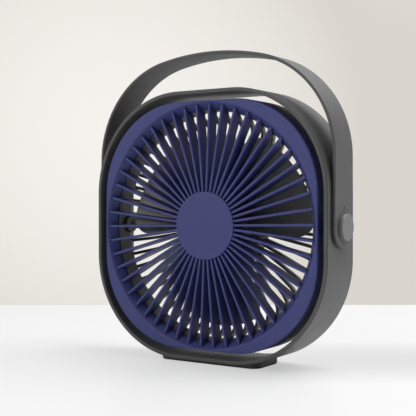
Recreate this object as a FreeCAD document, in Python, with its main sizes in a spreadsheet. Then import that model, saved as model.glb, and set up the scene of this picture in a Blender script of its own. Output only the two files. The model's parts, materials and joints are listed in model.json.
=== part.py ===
"""Desk fan with a round-cornered stand ring, a swinging carry handle and a tilting head.

Millimetres, +Z up, the front faces -Y.  The row's origin is the middle of the footprint.  Each piece is
drawn about the pivot axis, which runs along X through the ring's centre, and is then lifted to its height.
"""
import FreeCAD, Part
import math
import os
import re

import Sketcher

# ------------------------------------------------------------------------------------------------
# Driving sizes
# ------------------------------------------------------------------------------------------------
SIZES = {
    # stand ring: a round-cornered square tube, flat along Y
    "ring_half": 100.0,
    "ring_corner": 76.3,
    "ring_wall": 2.65,
    "ring_depth": 42.6,
    "ring_edge": 0.5,
    # foot: a hard plinth under the ring with a rubber pad under it
    "foot_drop": 2.2,
    "foot_half_length": 43.5,
    "foot_half_width": 17.8,
    "foot_corner": 8.0,
    "foot_rise": 2.3,
    "pad_thick": 0.9,
    "pad_inset": 0.5,
    "foot_screw_place": 20.0,
    "foot_screw_head": 2.6,
    "foot_screw_head_thick": 0.6,
    "foot_screw_bite": 2.0,
    # clearances that are shared by the fits
    "running_clear": 0.05,
    "seat_clear": 0.03,
    "face_clear": 0.1,
    "slack": 0.4,
    "tip_clear": 1.0,
    # handle: a band that runs over the ring
    "handle_gap": 0.6,
    "handle_thick": 2.4,
    "handle_shoulder": 50.0,
    "handle_corner": 76.0,
    "handle_crown": 200.0,
    "handle_eye": 14.8,
    "handle_top_half": 13.7,
    "tick_width": 0.7,
    "tick_length": 3.2,
    "tick_depth": 0.3,
    "tick_gap": 2.4,
    # pivots on both sides
    "spindle_radius": 4.0,
    "spindle_flat": 3.2,
    "bush_wall": 1.4,
    "bush_flange": 7.5,
    "cap_radius": 9.4,
    "cap_stand": 3.0,
    "cap_edge": 1.0,
    "boss_radius": 7.0,
    "boss_proud": 2.5,
    "boss_cup": 2.4,
    "boss_floor": 1.6,
    "washer_thick": 0.5,
    "pivot_screw_head": 2.8,
    "pivot_screw_head_thick": 2.2,
    "pivot_screw_grip": 9.0,
    # head shells
    "head_gap_side": 4.65,
    "head_gap_top": 5.25,
    "head_gap_corner": 4.85,
    "face_recess": 0.65,
    "face_thick": 2.0,
    "face_land": 0.9,
    "face_edge": 0.6,
    "shell_wall": 1.6,
    "front_shell_depth": 14.65,
    "rear_shell_reach": 8.5,
    "flare_run": 5.1,
    "flare_depth": 7.0,
    "mouth_land": 0.65,
    "duct_step": 1.1,
    "duct_wall": 1.6,
    "duct_gap": 0.4,
    "duct_reach": 1.4,
    "shell_screw_place": 94.0,
    "shell_boss_radius": 3.0,
    "shell_screw_head": 2.7,
    "shell_screw_head_thick": 2.0,
    "shell_screw_grip": 9.0,
    "screw_core": 1.2,
    "drive_share": 0.55,
    # front ribs and hub disc
    "rib_count": 50,
    "rib_thick": 1.9,
    "rib_depth": 10.3,
    "rib_recess": 0.9,
    "rib_phase": 1.13,
    "rib_bend": 1.8,
    "rib_gap": 1.2,
    "hub_disc_radius": 25.1,
    "hub_disc_skirt": 1.6,
    # rear grille
    "back_rib_count": 50,
    "back_rib_thick": 2.4,
    "back_rib_depth": 4.0,
    "back_rib_phase": 2.0,
    "back_shoulder": 74.0,
    "back_shoulder_drop": 2.0,
    "back_shoulder_run": 5.0,
    "back_rib_step": 0.4,
    # motor pod
    "pod_radius": 33.0,
    "pod_wall": 1.8,
    "pod_front": 6.4,
    "pod_back": 20.4,
    "pod_bore": 4.5,
    "post_radius": 2.6,
    "post_place": 27.8,
    "cover_thick": 1.8,
    "cover_screw_head": 2.2,
    "cover_screw_head_thick": 1.1,
    "small_screw_core": 0.9,
    # electronics
    "board_gap": 1.0,
    "board_thick": 1.2,
    "board_radius": 29.6,
    "board_screw_place": 26.5,
    "board_screw_head": 1.8,
    "board_screw_head_thick": 1.1,
    "cell_half_length": 23.0,
    "cell_half_height": 16.0,
    "cell_thick": 6.0,
    "tape_thick": 0.4,
    "tape_half_width": 5.8,
    "tape_inset": 3.2,
    "tape_place": 11.5,
    "lead_radius": 0.6,
    "lead_clear": 0.3,
    "inlet_place": 23.0,
    "inlet_half_width": 4.47,
    "inlet_thick": 3.16,
    "inlet_wall": 0.3,
    "inlet_recess": 0.4,
    "inlet_tongue_inset": 1.1,
    "button_place": 23.6,
    "button_radius": 4.6,
    "button_flange": 5.6,
    "button_flange_thick": 1.2,
    "button_proud": 0.5,
    "button_stem": 2.0,
    "button_travel": 0.5,
    "switch_half": 2.5,
    "switch_thick": 1.5,
    "plunger_radius": 1.2,
    "plunger_thick": 0.8,
    "light_place": 26.0,
    "light_radius": 1.1,
    "led_thick": 0.8,
    "led_half_length": 0.9,
    "led_half_width": 0.55,
    "chip_place": 9.0,
    "chip_half": 3.0,
    "chip_thick": 1.2,
    # motor
    "plate_radius": 17.0,
    "plate_thick": 2.2,
    "bearing_radius": 4.0,
    "bearing_thick": 4.0,
    "bearing_step": 0.6,
    "tube_wall": 1.0,
    "shaft_radius": 1.47,
    "clip_groove": 0.37,
    "clip_radius": 2.65,
    "stack_thick": 3.6,
    "stator_radius": 16.8,
    "shoe_thick": 1.3,
    "yoke_wall": 2.5,
    "air_gap": 0.4,
    "magnet_thick": 1.75,
    "bell_wall": 1.0,
    "bell_nose_wall": 2.2,
    "tooth_count": 9,
    "tooth_half": 1.1,
    "coil_wall": 1.4,
    "motor_screw_place": 9.5,
    "motor_lead_place": 12.6,
    # impeller
    "tip_gap": 9.0,
    "blade_thick": 1.6,
    "blade_sweep": 19.5,
    "blade_lead_drop": 8.2,
    "blade_lead_corner": 15.0,
    "blade_trail_angle": 67.0,
    "blade_trail_corner": 14.0,
    "blade_count": 3,
    "blade_gap": 1.8,
    "cup_radius": 26.0,
    "cup_wall": 1.6,
    "cup_edge": 1.5,
    "cup_gap": 1.2,
    "sleeve_wall": 1.3,
}

# Sizes that follow from the driving ones.
DERIVED = {
    "axis_height": "ring_half + foot_drop",
    "ring_inner": "ring_half - ring_wall",
    "ring_inner_corner": "ring_corner - ring_wall",
    "ring_front": "-ring_depth / 2",
    "ring_back": "ring_depth / 2",
    "pad_top": "-ring_half - foot_drop + pad_thick",
    "handle_inner": "ring_half + handle_gap",
    "handle_outer": "handle_inner + handle_thick",
    "handle_reach": "handle_outer - handle_corner",
    "handle_fall": "sqrt((handle_crown - handle_corner) ^ 2 - handle_reach ^ 2)",
    "handle_height": "handle_shoulder - handle_fall + handle_crown",
    "spindle_bore": "spindle_radius + running_clear",
    "bush_outer": "spindle_bore + bush_wall",
    "bush_seat": "bush_outer + seat_clear",
    "cap_inner": "handle_outer + running_clear",
    "cap_outer": "handle_outer + cap_stand",
    "shell_half": "ring_inner - head_gap_side",
    "shell_half_up": "ring_inner - head_gap_top",
    "shell_corner": "ring_inner_corner - head_gap_corner",
    "face": "ring_front + face_recess",
    "shell_joint": "face + front_shell_depth",
    "flare_start": "shell_half_up - face_land",
    "mouth_radius": "flare_start - flare_run",
    "mouth_back": "face + flare_depth + mouth_land",
    "duct_radius": "mouth_radius - duct_step",
    "duct_outer": "duct_radius + duct_wall",
    "duct_front": "mouth_back + duct_gap",
    "web_front": "duct_reach - shell_wall",
    "core_bore": "screw_core + seat_clear",
    "small_core_bore": "small_screw_core + seat_clear",
    "rib_front": "face + rib_recess",
    "rib_back": "rib_front + rib_depth",
    "blade_tip": "duct_radius - tip_gap",
    "boss_end": "duct_radius - boss_proud",
    "boss_seat": "boss_end + boss_cup",
    "spindle_end": "boss_seat + boss_floor",
    "back_flat": "pod_back - back_rib_step - back_rib_depth",
    "pod_inner": "pod_radius - pod_wall",
    "pod_floor": "pod_front + pod_wall",
    "board_front": "pod_floor + board_gap",
    "board_back": "board_front + board_thick",
    "cover_front": "pod_back - cover_thick",
    "cell_back": "cover_front - tape_thick",
    "cell_front": "cell_back - cell_thick",
    "button_face": "pod_back + button_proud",
    "button_shoulder": "cover_front - face_clear",
    "switch_back": "board_back + switch_thick",
    "plunger_back": "switch_back + plunger_thick",
    "plate_front": "pod_front - plate_thick",
    "rear_bearing_front": "pod_front - face_clear - bearing_thick",
    "rear_bearing_back": "pod_front - face_clear",
    "tube_radius": "bearing_radius + seat_clear + tube_wall",
    "shaft_bore": "shaft_radius + seat_clear",
    "magnet_inner": "stator_radius + air_gap",
    "magnet_outer": "magnet_inner + magnet_thick",
    "bell_inner": "magnet_outer + seat_clear",
    "bell_outer": "bell_inner + bell_wall",
    "blade_front": "rib_back + blade_gap",
    "cup_front": "blade_front - face_clear",
    "cup_floor": "cup_front + cup_wall",
    "cup_back": "pod_front - cup_gap",
    "bell_front": "cup_floor + running_clear",
    "bell_floor": "bell_front + bell_wall",
    "bell_back": "plate_front - air_gap * 2",
    "tube_front": "bell_floor + bell_wall + air_gap",
    "stack_front": "(tube_front + plate_front - stack_thick) / 2",
    "stack_back": "stack_front + stack_thick",
}


def expand(text):
    """The expression with derived names worked out and each size led by the sheet's name."""
    def swap(match):
        word = match.group()
        if word in DERIVED:
            return "(" + expand(DERIVED[word]) + ")"
        return "Sizes." + word if word in SIZES else word
    return re.sub(r"[a-z]\w*", swap, str(text))


def make_sheet():
    """The spreadsheet that holds each driving size under its name."""
    table = doc.addObject("Spreadsheet::Sheet", "Sizes")
    for row, (name, size) in enumerate(SIZES.items(), start=1):
        table.set(f"A{row}", name)
        table.set(f"B{row}", str(size))
        table.setAlias(f"B{row}", name)
    doc.recompute()
    return table


def value(text):
    """The expression's present value as a plain number."""
    return float(gauge.evalExpression(expand(text)))


# ------------------------------------------------------------------------------------------------
# Drawing helpers
# ------------------------------------------------------------------------------------------------
PLANES = {"X": "YZ_Plane", "Y": "XZ_Plane", "Z": "XY_Plane"}
ORIGIN_POINT = (-1, 1)


def arc_middle(start, end, radius, turn):
    """The middle point of the short arc between two points; turn is 1 for anticlockwise travel."""
    across = (end - start) * 0.5
    rise = math.sqrt(max(radius * radius - across.Length ** 2, 0.0))
    left = FreeCAD.Vector(-across.y, across.x, 0) / across.Length
    return start + across - left * turn * (radius - rise)


class Sketch:
    """A sketch whose points and radii are expressions of the sheet's sizes."""

    def __init__(self, body, axis, level):
        """The sketch lies across the axis at the level, in the order X-Z, Y-Z or X-Y."""
        plane = next(part for part in body.Origin.OriginFeatures if part.Role == PLANES[axis])
        self.item = body.newObject("Sketcher::SketchObject", "Outline")
        self.item.AttachmentSupport = [(plane, "")]
        self.item.MapMode = "FlatFace"
        rise = f"-({level})" if axis == "Y" else level
        self.item.setExpression("AttachmentOffset.Base.z", expand(rise))

    def bind(self, constraint, text):
        """Adds a constraint and ties its value to the expression."""
        number = self.item.addConstraint(constraint)
        self.item.setExpression(f"Constraints[{number}]", expand(text))

    def pin(self, shape, point, across, up):
        """Holds a point at its place from the sketch's origin."""
        self.bind(Sketcher.Constraint("DistanceX", *ORIGIN_POINT, shape, point, value(across)), across)
        self.bind(Sketcher.Constraint("DistanceY", *ORIGIN_POINT, shape, point, value(up)), up)

    def circle(self, radius, across="0", up="0"):
        """A full circle about the given place."""
        centre = FreeCAD.Vector(value(across), value(up), 0)
        shape = self.item.addGeometry(Part.Circle(centre, FreeCAD.Vector(0, 0, 1), value(radius)))
        self.bind(Sketcher.Constraint("Radius", shape, value(radius)), radius)
        self.pin(shape, 3, across, up)
        return self

    def outline(self, corners):
        """A closed outline; a corner is (across, up), or (across, up, radius, turn) at an arc's end."""
        places = [FreeCAD.Vector(value(corner[0]), value(corner[1]), 0) for corner in corners]
        ends = []
        for number, corner in enumerate(corners):
            start, end = places[number - 1], places[number]
            if len(corner) == 2:
                shape = self.item.addGeometry(Part.LineSegment(start, end))
                ends.append((shape, 1, 2))
                continue
            radius, turn = corner[2:]
            middle = arc_middle(start, end, value(radius), turn)
            shape = self.item.addGeometry(Part.Arc(start, middle, end))
            ends.append((shape, 1, 2) if turn > 0 else (shape, 2, 1))
            self.bind(Sketcher.Constraint("Radius", shape, value(radius)), radius)
        for number, (shape, first, last) in enumerate(ends):
            following = ends[(number + 1) % len(ends)]
            self.item.addConstraint(Sketcher.Constraint("Coincident", shape, last, *following[:2]))
            self.pin(shape, last, corners[number][0], corners[number][1])
        return self

    def rectangle(self, left, right, low, high):
        """A rectangle between the given edges."""
        return self.outline([(left, low), (right, low), (right, high), (left, high)])

    def rounded(self, half, half_up, corner):
        """A rectangle about the origin with round corners, drawn anticlockwise."""
        return self.outline([
            (f"{half} - ({corner})", f"-({half_up})"),
            (half, f"-({half_up} - ({corner}))", corner, 1),
            (half, f"{half_up} - ({corner})"),
            (f"{half} - ({corner})", half_up, corner, 1),
            (f"-({half} - ({corner}))", half_up),
            (f"-({half})", f"{half_up} - ({corner})", corner, 1),
            (f"-({half})", f"-({half_up} - ({corner}))"),
            (f"-({half} - ({corner}))", f"-({half_up})", corner, 1),
        ])


class Piece:
    """A PartDesign body that stands at the pivot's height."""

    def __init__(self, name):
        """Makes the empty body and lists it among the sub-parts."""
        self.body = doc.addObject("PartDesign::Body", name)
        self.body.Label = name
        self.body.AllowCompound = True
        self.body.setExpression("Placement.Base.z", expand("axis_height"))
        pieces.append(self.body)

    def sketch(self, axis, level="0"):
        """A new sketch of this body across the axis."""
        return Sketch(self.body, axis, level)

    def pad(self, axis, low, high, draw):
        """Adds the drawn outline between two levels along the axis."""
        sketch = self.sketch(axis, high if axis == "Y" else low)
        draw(sketch)
        pad = self.body.newObject("PartDesign::Pad", "Pad")
        pad.Profile = sketch.item
        pad.setExpression("Length", expand(f"{high} - ({low})"))
        return pad

    def cut(self, axis, low, high, draw):
        """Takes the drawn outline away between two levels along the axis."""
        sketch = self.sketch(axis, low if axis == "Y" else high)
        draw(sketch)
        pocket = self.body.newObject("PartDesign::Pocket", "Pocket")
        pocket.Profile = sketch.item
        pocket.setExpression("Length", expand(f"{high} - ({low})"))
        return pocket

    def turn(self, axis, corners):
        """Revolves an outline of (place along the axis, radius) about X or Y."""
        sketch = self.sketch("Y" if axis == "X" else "X")
        sketch.outline(corners)
        turned = self.body.newObject("PartDesign::Revolution", "Revolution")
        turned.Profile = sketch.item
        turned.ReferenceAxis = (sketch.item, ["H_Axis"])
        turned.Angle = 360
        return turned

    def repeat(self, feature, count):
        """Repeats a feature evenly about the Y axis."""
        axis = next(part for part in self.body.Origin.OriginFeatures if part.Role == "Y_Axis")
        pattern = self.body.newObject("PartDesign::PolarPattern", "Pattern")
        pattern.Originals = [feature]
        pattern.Axis = (axis, [""])
        pattern.Angle = 360
        pattern.setExpression("Occurrences", expand(count))
        self.body.Tip = pattern
        return pattern

    def fillet(self, radius, wanted):
        """Rounds the edges of the present tip that the test picks."""
        doc.recompute()
        base = self.body.Tip
        edges = [f"Edge{number}" for number, edge in enumerate(base.Shape.Edges, start=1) if wanted(edge)]
        rounded = self.body.newObject("PartDesign::Fillet", "Fillet")
        rounded.Base = (base, edges)
        rounded.setExpression("Radius", expand(radius))
        return rounded


def at_side(side, corners):
    """The outline on the right side, or its mirror image for side -1."""
    return [(f"{side} * ({corner[0]})", corner[1], *corner[2:3], *[turn * side for turn in corner[3:]])
            for corner in corners]


def side_span(side, low, high):
    """A span along X on the right side, or its mirror image for side -1."""
    return (low, high) if side > 0 else (f"-({high})", f"-({low})")


def ring_places(place, angles):
    """Expressions of the places at one distance from the axis."""
    return [(f"({place}) * cos({angle})", f"({place}) * sin({angle})") for angle in angles]


def circles(radius, places):
    """A drawing of equal circles at the places."""
    def draw(sketch):
        for across, up in places:
            sketch.circle(radius, across, up)
    return draw


def tube(outer, inner):
    """A drawing of two circles about the axis."""
    return lambda sketch: sketch.circle(outer).circle(inner)


def inlet_slot(inset):
    """A drawing of the inlet's flat slot with round ends, set in by a distance."""
    half = f"inlet_half_width - {inset}"
    radius = f"(inlet_thick / 2 - {inset})"
    turn = f"{half} - {radius}"
    low = f"-inlet_place - {radius}"
    high = f"-inlet_place + {radius}"
    return lambda sketch: sketch.outline([
        (turn, low), (half, "-inlet_place", radius, 1), (turn, high, radius, 1),
        (f"-({turn})", high), (f"-({half})", "-inlet_place", radius, 1), (f"-({turn})", low, radius, 1)])


def crosses(arm, places):
    """A drawing of screwdriver crosses at the places."""
    blade = f"({arm}) / 4"

    def draw(sketch):
        for across, up in places:
            steps = [(arm, blade), (blade, blade), (blade, arm),
                     (f"-{blade}", arm), (f"-{blade}", blade), (f"-({arm})", blade),
                     (f"-({arm})", f"-{blade}"), (f"-{blade}", f"-{blade}"), (f"-{blade}", f"-({arm})"),
                     (blade, f"-({arm})"), (blade, f"-{blade}"), (arm, f"-{blade}")]
            sketch.outline([(f"{across} + {right}", f"{up} + {rise}") for right, rise in steps])
    return draw


def screws(name, axis, places, head, head_span, shank, shank_span):
    """Equal screws in one node: a round head with a cross and a plain shank."""
    piece = Piece(name)
    piece.pad(axis, *head_span, circles(head, places))
    piece.pad(axis, *shank_span, circles(shank, places))
    outwards = head_span[0] == shank_span[1]
    depth = f"({head_span[1]} - ({head_span[0]})) / 2"
    low, high = head_span
    drive = (f"{high} - {depth}", high) if outwards else (low, f"{low} + {depth}")
    piece.cut(axis, *drive, crosses(f"({head}) * drive_share", places))
    return piece


def edge_at_levels(*levels):
    """A test for edges that lie across the Y axis at one of the levels."""
    return lambda edge: any(
        all(abs(point.Point.y - level) < 1e-4 for point in edge.Vertexes) for level in levels)


# ------------------------------------------------------------------------------------------------
# Stand
# ------------------------------------------------------------------------------------------------
FOOT_SCREWS = [("foot_screw_place", "0"), ("-foot_screw_place", "0")]


def make_stand_ring():
    """The round-cornered ring that stands on the foot and carries both pivots."""
    ring = Piece("stand_ring")
    ring.pad("Y", "ring_front", "ring_back", lambda sketch: sketch
             .rounded("ring_half", "ring_half", "ring_corner")
             .rounded("ring_inner", "ring_inner", "ring_inner_corner"))
    ring.fillet("ring_edge", edge_at_levels(value("ring_front"), value("ring_back")))
    ring.cut("X", "-ring_half", "ring_half", lambda sketch: sketch.circle("bush_seat"))
    ring.cut("Z", "-ring_half", "-ring_half + foot_screw_bite", circles("core_bore", FOOT_SCREWS))


def make_foot():
    """The plinth that fits the ring's underside, its rubber pad and its two screws."""
    plinth = Piece("foot_plinth")
    plinth.pad("Z", "pad_top", "-ring_half + foot_rise", lambda sketch: sketch
               .rounded("foot_half_length", "foot_half_width", "foot_corner"))
    plinth.cut("Y", "-foot_half_width", "foot_half_width", lambda sketch: sketch
               .rounded("ring_half", "ring_half", "ring_corner"))
    head_back = "pad_top + foot_screw_head_thick"
    plinth.cut("Z", "pad_top", head_back, circles("foot_screw_head + face_clear", FOOT_SCREWS))
    plinth.cut("Z", head_back, "-ring_half", circles("core_bore", FOOT_SCREWS))
    pad = Piece("foot_pad")
    pad.pad("Z", "-axis_height", "pad_top", lambda sketch: sketch.rounded(
        "foot_half_length - pad_inset", "foot_half_width - pad_inset", "foot_corner - pad_inset"))
    screws("foot_screws", "Z", FOOT_SCREWS, "foot_screw_head", ("pad_top", head_back),
           "screw_core", (head_back, "-ring_half + foot_screw_bite - face_clear"))


# ------------------------------------------------------------------------------------------------
# Handle
# ------------------------------------------------------------------------------------------------
def arch(inset):
    """A drawing of the handle's arch, set in by a distance: sides, corner arcs and crown arc."""
    half = f"handle_outer - {inset}"
    corner = f"handle_corner - {inset}"
    crown = f"handle_crown - {inset}"
    share = f"({crown}) / (handle_crown - handle_corner)"
    knee = f"handle_reach * {share}"
    knee_height = f"handle_shoulder - handle_fall + handle_fall * {share}"
    return lambda sketch: sketch.outline([
        (half, "-handle_eye"),
        (half, "handle_shoulder"),
        (knee, knee_height, corner, 1),
        (f"-({knee})", knee_height, crown, 1),
        (f"-({half})", "handle_shoulder", corner, 1),
        (f"-({half})", "-handle_eye"),
    ])


def draw_handle_offcut(sketch):
    """All that lies outside the handle's side view: a round eye and a slight taper upwards."""
    margin = "handle_eye / 8"
    sketch.rectangle(f"-handle_eye - {margin}", f"handle_eye + {margin}",
                     f"-handle_eye - {margin}", f"handle_height + {margin} * 2")
    sketch.outline([
        ("-handle_eye", "0"),
        ("0", "-handle_eye", "handle_eye", 1),
        ("handle_eye", "0", "handle_eye", 1),
        ("handle_top_half", f"handle_height + {margin}"),
        ("-handle_top_half", f"handle_height + {margin}"),
    ])


def make_handle():
    """The band over the ring, with an eye and an index tick at each end."""
    handle = Piece("handle")
    handle.pad("Y", "-handle_eye", "handle_eye", arch("0"))
    handle.cut("Y", "-handle_eye", "handle_eye", arch("handle_thick"))
    handle.cut("X", "-handle_outer", "handle_outer", draw_handle_offcut)
    handle.cut("X", "-handle_outer", "handle_outer", lambda sketch: sketch.circle("bush_seat"))
    for side in (1, -1):
        handle.cut("X", *side_span(side, "handle_outer - tick_depth", "handle_outer"), lambda sketch: sketch
                   .rectangle("-tick_width / 2", "tick_width / 2",
                              "cap_radius + tick_gap", "cap_radius + tick_gap + tick_length"))


# ------------------------------------------------------------------------------------------------
# Pivots
# ------------------------------------------------------------------------------------------------
def sleeve(low, high, inner, outer):
    """The half section of a plain sleeve."""
    return [(low, inner), (high, inner), (high, outer), (low, outer)]


def make_pivot(side, name):
    """The bushes, washer, spacer, cap and screw of one pivot."""
    flange_face = "ring_half + handle_gap - face_clear"
    Piece(f"ring_bush_{name}").turn("X", at_side(side, [
        ("ring_inner", "spindle_bore"), (flange_face, "spindle_bore"), (flange_face, "bush_flange"),
        ("ring_half", "bush_flange"), ("ring_half", "bush_outer"), ("ring_inner", "bush_outer")]))
    Piece(f"handle_bush_{name}").turn("X", at_side(side, sleeve(
        "handle_inner", "handle_outer", "spindle_bore", "bush_outer")))
    washer_back = "ring_inner - running_clear"
    washer_front = f"{washer_back} - washer_thick"
    Piece(f"friction_washer_{name}").turn("X", at_side(side, sleeve(
        washer_front, washer_back, "spindle_bore", "boss_radius")))
    Piece(f"pivot_spacer_{name}").turn("X", at_side(side, sleeve(
        "shell_half", washer_front, "spindle_bore", "boss_radius")))
    cap = Piece(f"pivot_cap_{name}")
    start = "spindle_end + face_clear"
    pilot = f"{start} + pivot_screw_grip"
    cap.turn("X", at_side(side, [
        (start, "core_bore"), (pilot, "core_bore"), (pilot, "0"), ("cap_outer", "0"),
        ("cap_outer", "cap_radius - cap_edge"), ("cap_outer - cap_edge", "cap_radius", "cap_edge", 1),
        ("cap_inner", "cap_radius"), ("cap_inner", "spindle_radius"), (start, "spindle_radius")]))
    key = side_span(side, start, "shell_half - shell_wall")
    cap.cut("Z", "spindle_flat", "spindle_radius", lambda sketch: sketch
            .rectangle(*key, "-spindle_radius", "spindle_radius"))
    head = side_span(side, "boss_seat - pivot_screw_head_thick", "boss_seat")
    shank = side_span(side, "boss_seat", f"{pilot} - face_clear")
    screws(f"pivot_screw_{name}", "X", [("0", "0")], "pivot_screw_head", head, "screw_core", shank)


# ------------------------------------------------------------------------------------------------
# Head shells
# ------------------------------------------------------------------------------------------------
SHELL_SCREWS = ring_places("shell_screw_place", (45, 135, 225, 315))
BOARD_SCREWS = ring_places("board_screw_place", (45, 135, 225, 315))
COVER_SCREWS = [("post_place", "0"), ("-post_place", "0")]
MOTOR_SCREWS = ring_places("motor_screw_place", (30, 150, 270))
MOTOR_LEADS = ring_places("motor_lead_place", (71, 80, 89))
LIGHTS = ring_places("light_place", (58, 66, 114, 122))
BUTTON = [("0", "button_place")]


def shell_outline(inset):
    """A drawing of the head's round-cornered outline, set in by a distance."""
    return lambda sketch: sketch.rounded(f"shell_half - {inset}", f"shell_half_up - {inset}",
                                         f"shell_corner - {inset}")


def add_fins(piece, thick, phase, count, corners):
    """A radial fin of the given side view, turned by its phase and repeated about the axis."""
    sketch = piece.sketch("Z")
    sketch.outline(corners)
    sketch.item.AttachmentOffset = FreeCAD.Placement(
        FreeCAD.Vector(0, 0, 0), FreeCAD.Rotation(FreeCAD.Vector(0, 1, 0), -value(phase)))
    sketch.item.setExpression("AttachmentOffset.Rotation.Angle", expand(f"-{phase}"))
    fin = piece.body.newObject("PartDesign::Pad", "Fin")
    fin.Profile = sketch.item
    fin.SideType = "Symmetric"
    fin.setExpression("Length", expand(thick))
    piece.repeat(fin, count)


def make_front_grille():
    """The front cover: face, side wall, funnel mouth, hub disc, straight ribs and screw bosses."""
    grille = Piece("front_grille")
    face_back = "face + face_thick"
    grille.pad("Y", "face", face_back, lambda sketch: shell_outline("0")(sketch).circle("flare_start"))
    grille.pad("Y", "face", "shell_joint",
               lambda sketch: shell_outline("shell_wall")(shell_outline("0")(sketch)))
    rim = value("flare_start") + value("face_land") / 2
    grille.fillet("face_edge", lambda edge: edge_at_levels(value("face"))(edge) and all(
        math.hypot(point.Point.x, point.Point.z) > rim for point in edge.Vertexes))
    lap = "flare_start + face_land / 2"
    outer_mouth = "mouth_radius + duct_wall"
    cone_wall = "duct_wall * sqrt(flare_run ^ 2 + flare_depth ^ 2) / flare_depth"
    grille.turn("Y", [
        ("face", lap), ("face", "flare_start"), ("face + flare_depth", "mouth_radius"),
        ("mouth_back", "mouth_radius"), ("mouth_back", outer_mouth),
        (f"face + flare_depth + ({cone_wall} - duct_wall) * flare_depth / flare_run", outer_mouth),
        (face_back, f"flare_start - flare_run * face_thick / flare_depth + {cone_wall}")])
    grille.pad("Y", "face", face_back, lambda sketch: sketch.circle("hub_disc_radius"))
    grille.pad("Y", "face", "rib_back", tube("hub_disc_radius", "hub_disc_radius - hub_disc_skirt"))
    inner_end = "hub_disc_radius - hub_disc_skirt / 2"
    outer_end = "mouth_radius + duct_wall / 2"
    notch = "duct_radius - duct_gap"
    nose = "flare_start - rib_gap"
    add_fins(grille, "rib_thick", "rib_phase", "rib_count", [
        (inner_end, "rib_front"), (f"{nose} - rib_bend", "rib_front"),
        (nose, "rib_front + rib_bend", "rib_bend", 1), (outer_end, "face + flare_depth"),
        (outer_end, "mouth_back"), (notch, "mouth_back"), (notch, "rib_back"), (inner_end, "rib_back")])
    grille.pad("Y", f"{face_back} - face_thick / 2", "web_front - face_clear",
               circles("shell_boss_radius", SHELL_SCREWS))
    grille.cut("Y", "web_front - shell_screw_grip", "web_front", circles("core_bore", SHELL_SCREWS))


def draw_key_bore(sketch):
    """A round bore with the flat that keys the spindle."""
    flat = "spindle_flat + running_clear"
    half = f"sqrt(spindle_bore ^ 2 - ({flat}) ^ 2)"
    sketch.outline([
        (half, flat, "spindle_bore", 1),
        (f"-{half}", flat),
        ("0", "-spindle_bore", "spindle_bore", 1),
    ])


def add_pivot_bosses(housing):
    """The bosses inside the duct that the spindles plug into."""
    for side in (1, -1):
        housing.pad("X", *side_span(side, "boss_end", "shell_half - shell_wall"),
                    lambda sketch: sketch.circle("boss_radius"))


def bore_pivot_bosses(housing):
    """Each boss's screw cup, screw hole, keyed bore and round mouth."""
    key_end = "shell_half - shell_wall"
    for side in (1, -1):
        housing.cut("X", *side_span(side, "boss_end", "boss_seat"),
                    lambda sketch: sketch.circle("pivot_screw_head + slack"))
        housing.cut("X", *side_span(side, "boss_seat", "spindle_end"),
                    lambda sketch: sketch.circle("core_bore"))
        housing.cut("X", *side_span(side, "spindle_end", key_end), draw_key_bore)
        housing.cut("X", *side_span(side, key_end, "shell_half"),
                    lambda sketch: sketch.circle("spindle_bore"))


def add_back_grille(housing):
    """The domed back ribs, from the pod to the duct."""
    foot = "(duct_radius + duct_wall / 2)"
    root = "(duct_reach - shell_wall / 2)"
    run = f"({foot} - back_shoulder)"
    rise = f"(back_flat - back_shoulder_drop - {root})"
    slant = f"sqrt({run} ^ 2 + {rise} ^ 2)"
    out = f"back_rib_depth * {rise} / {slant}"
    back = f"back_rib_depth * {run} / {slant}"
    flat_start = "back_shoulder - back_shoulder_run"
    inner_end = "pod_radius - pod_wall / 2"
    add_fins(housing, "back_rib_thick", "back_rib_phase", "back_rib_count", [
        (inner_end, "back_flat"), (flat_start, "back_flat"),
        ("back_shoulder", "back_flat - back_shoulder_drop"), (foot, root),
        (f"{foot} + {out}", root), (f"{foot} + {out}", f"{root} + {back}"),
        (f"back_shoulder + {out}", f"back_flat - back_shoulder_drop + {back}"),
        (f"{flat_start} + {out} / 2", "back_flat + back_rib_depth"),
        (inner_end, "back_flat + back_rib_depth")])


def add_pod(housing):
    """The motor pod: floor, wall, cover posts and board bosses."""
    housing.pad("Y", "pod_front", "pod_floor", lambda sketch: sketch.circle("pod_radius"))
    housing.pad("Y", "pod_front", "pod_back", tube("pod_radius", "pod_inner"))
    housing.pad("Y", "pod_floor", "cover_front", circles("post_radius", COVER_SCREWS))
    housing.pad("Y", "pod_floor", "board_front", circles("post_radius", BOARD_SCREWS))


def drill_pod(housing):
    """The pod's bore, screw holes and lead holes."""
    housing.cut("Y", "pod_front", "pod_floor", lambda sketch: sketch.circle("pod_bore"))
    housing.cut("Y", "pod_front", "pod_floor", circles("small_core_bore", MOTOR_SCREWS))
    housing.cut("Y", "pod_floor - board_screw_head_thick", "pod_floor",
                circles("board_screw_head + running_clear", MOTOR_SCREWS))
    housing.cut("Y", "pod_front", "pod_floor", circles("lead_radius + lead_clear", MOTOR_LEADS))
    housing.cut("Y", "pod_floor - board_screw_head_thick", "board_front",
                circles("small_core_bore", BOARD_SCREWS))
    housing.cut("Y", "board_back", "cover_front", circles("small_core_bore", COVER_SCREWS))


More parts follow.
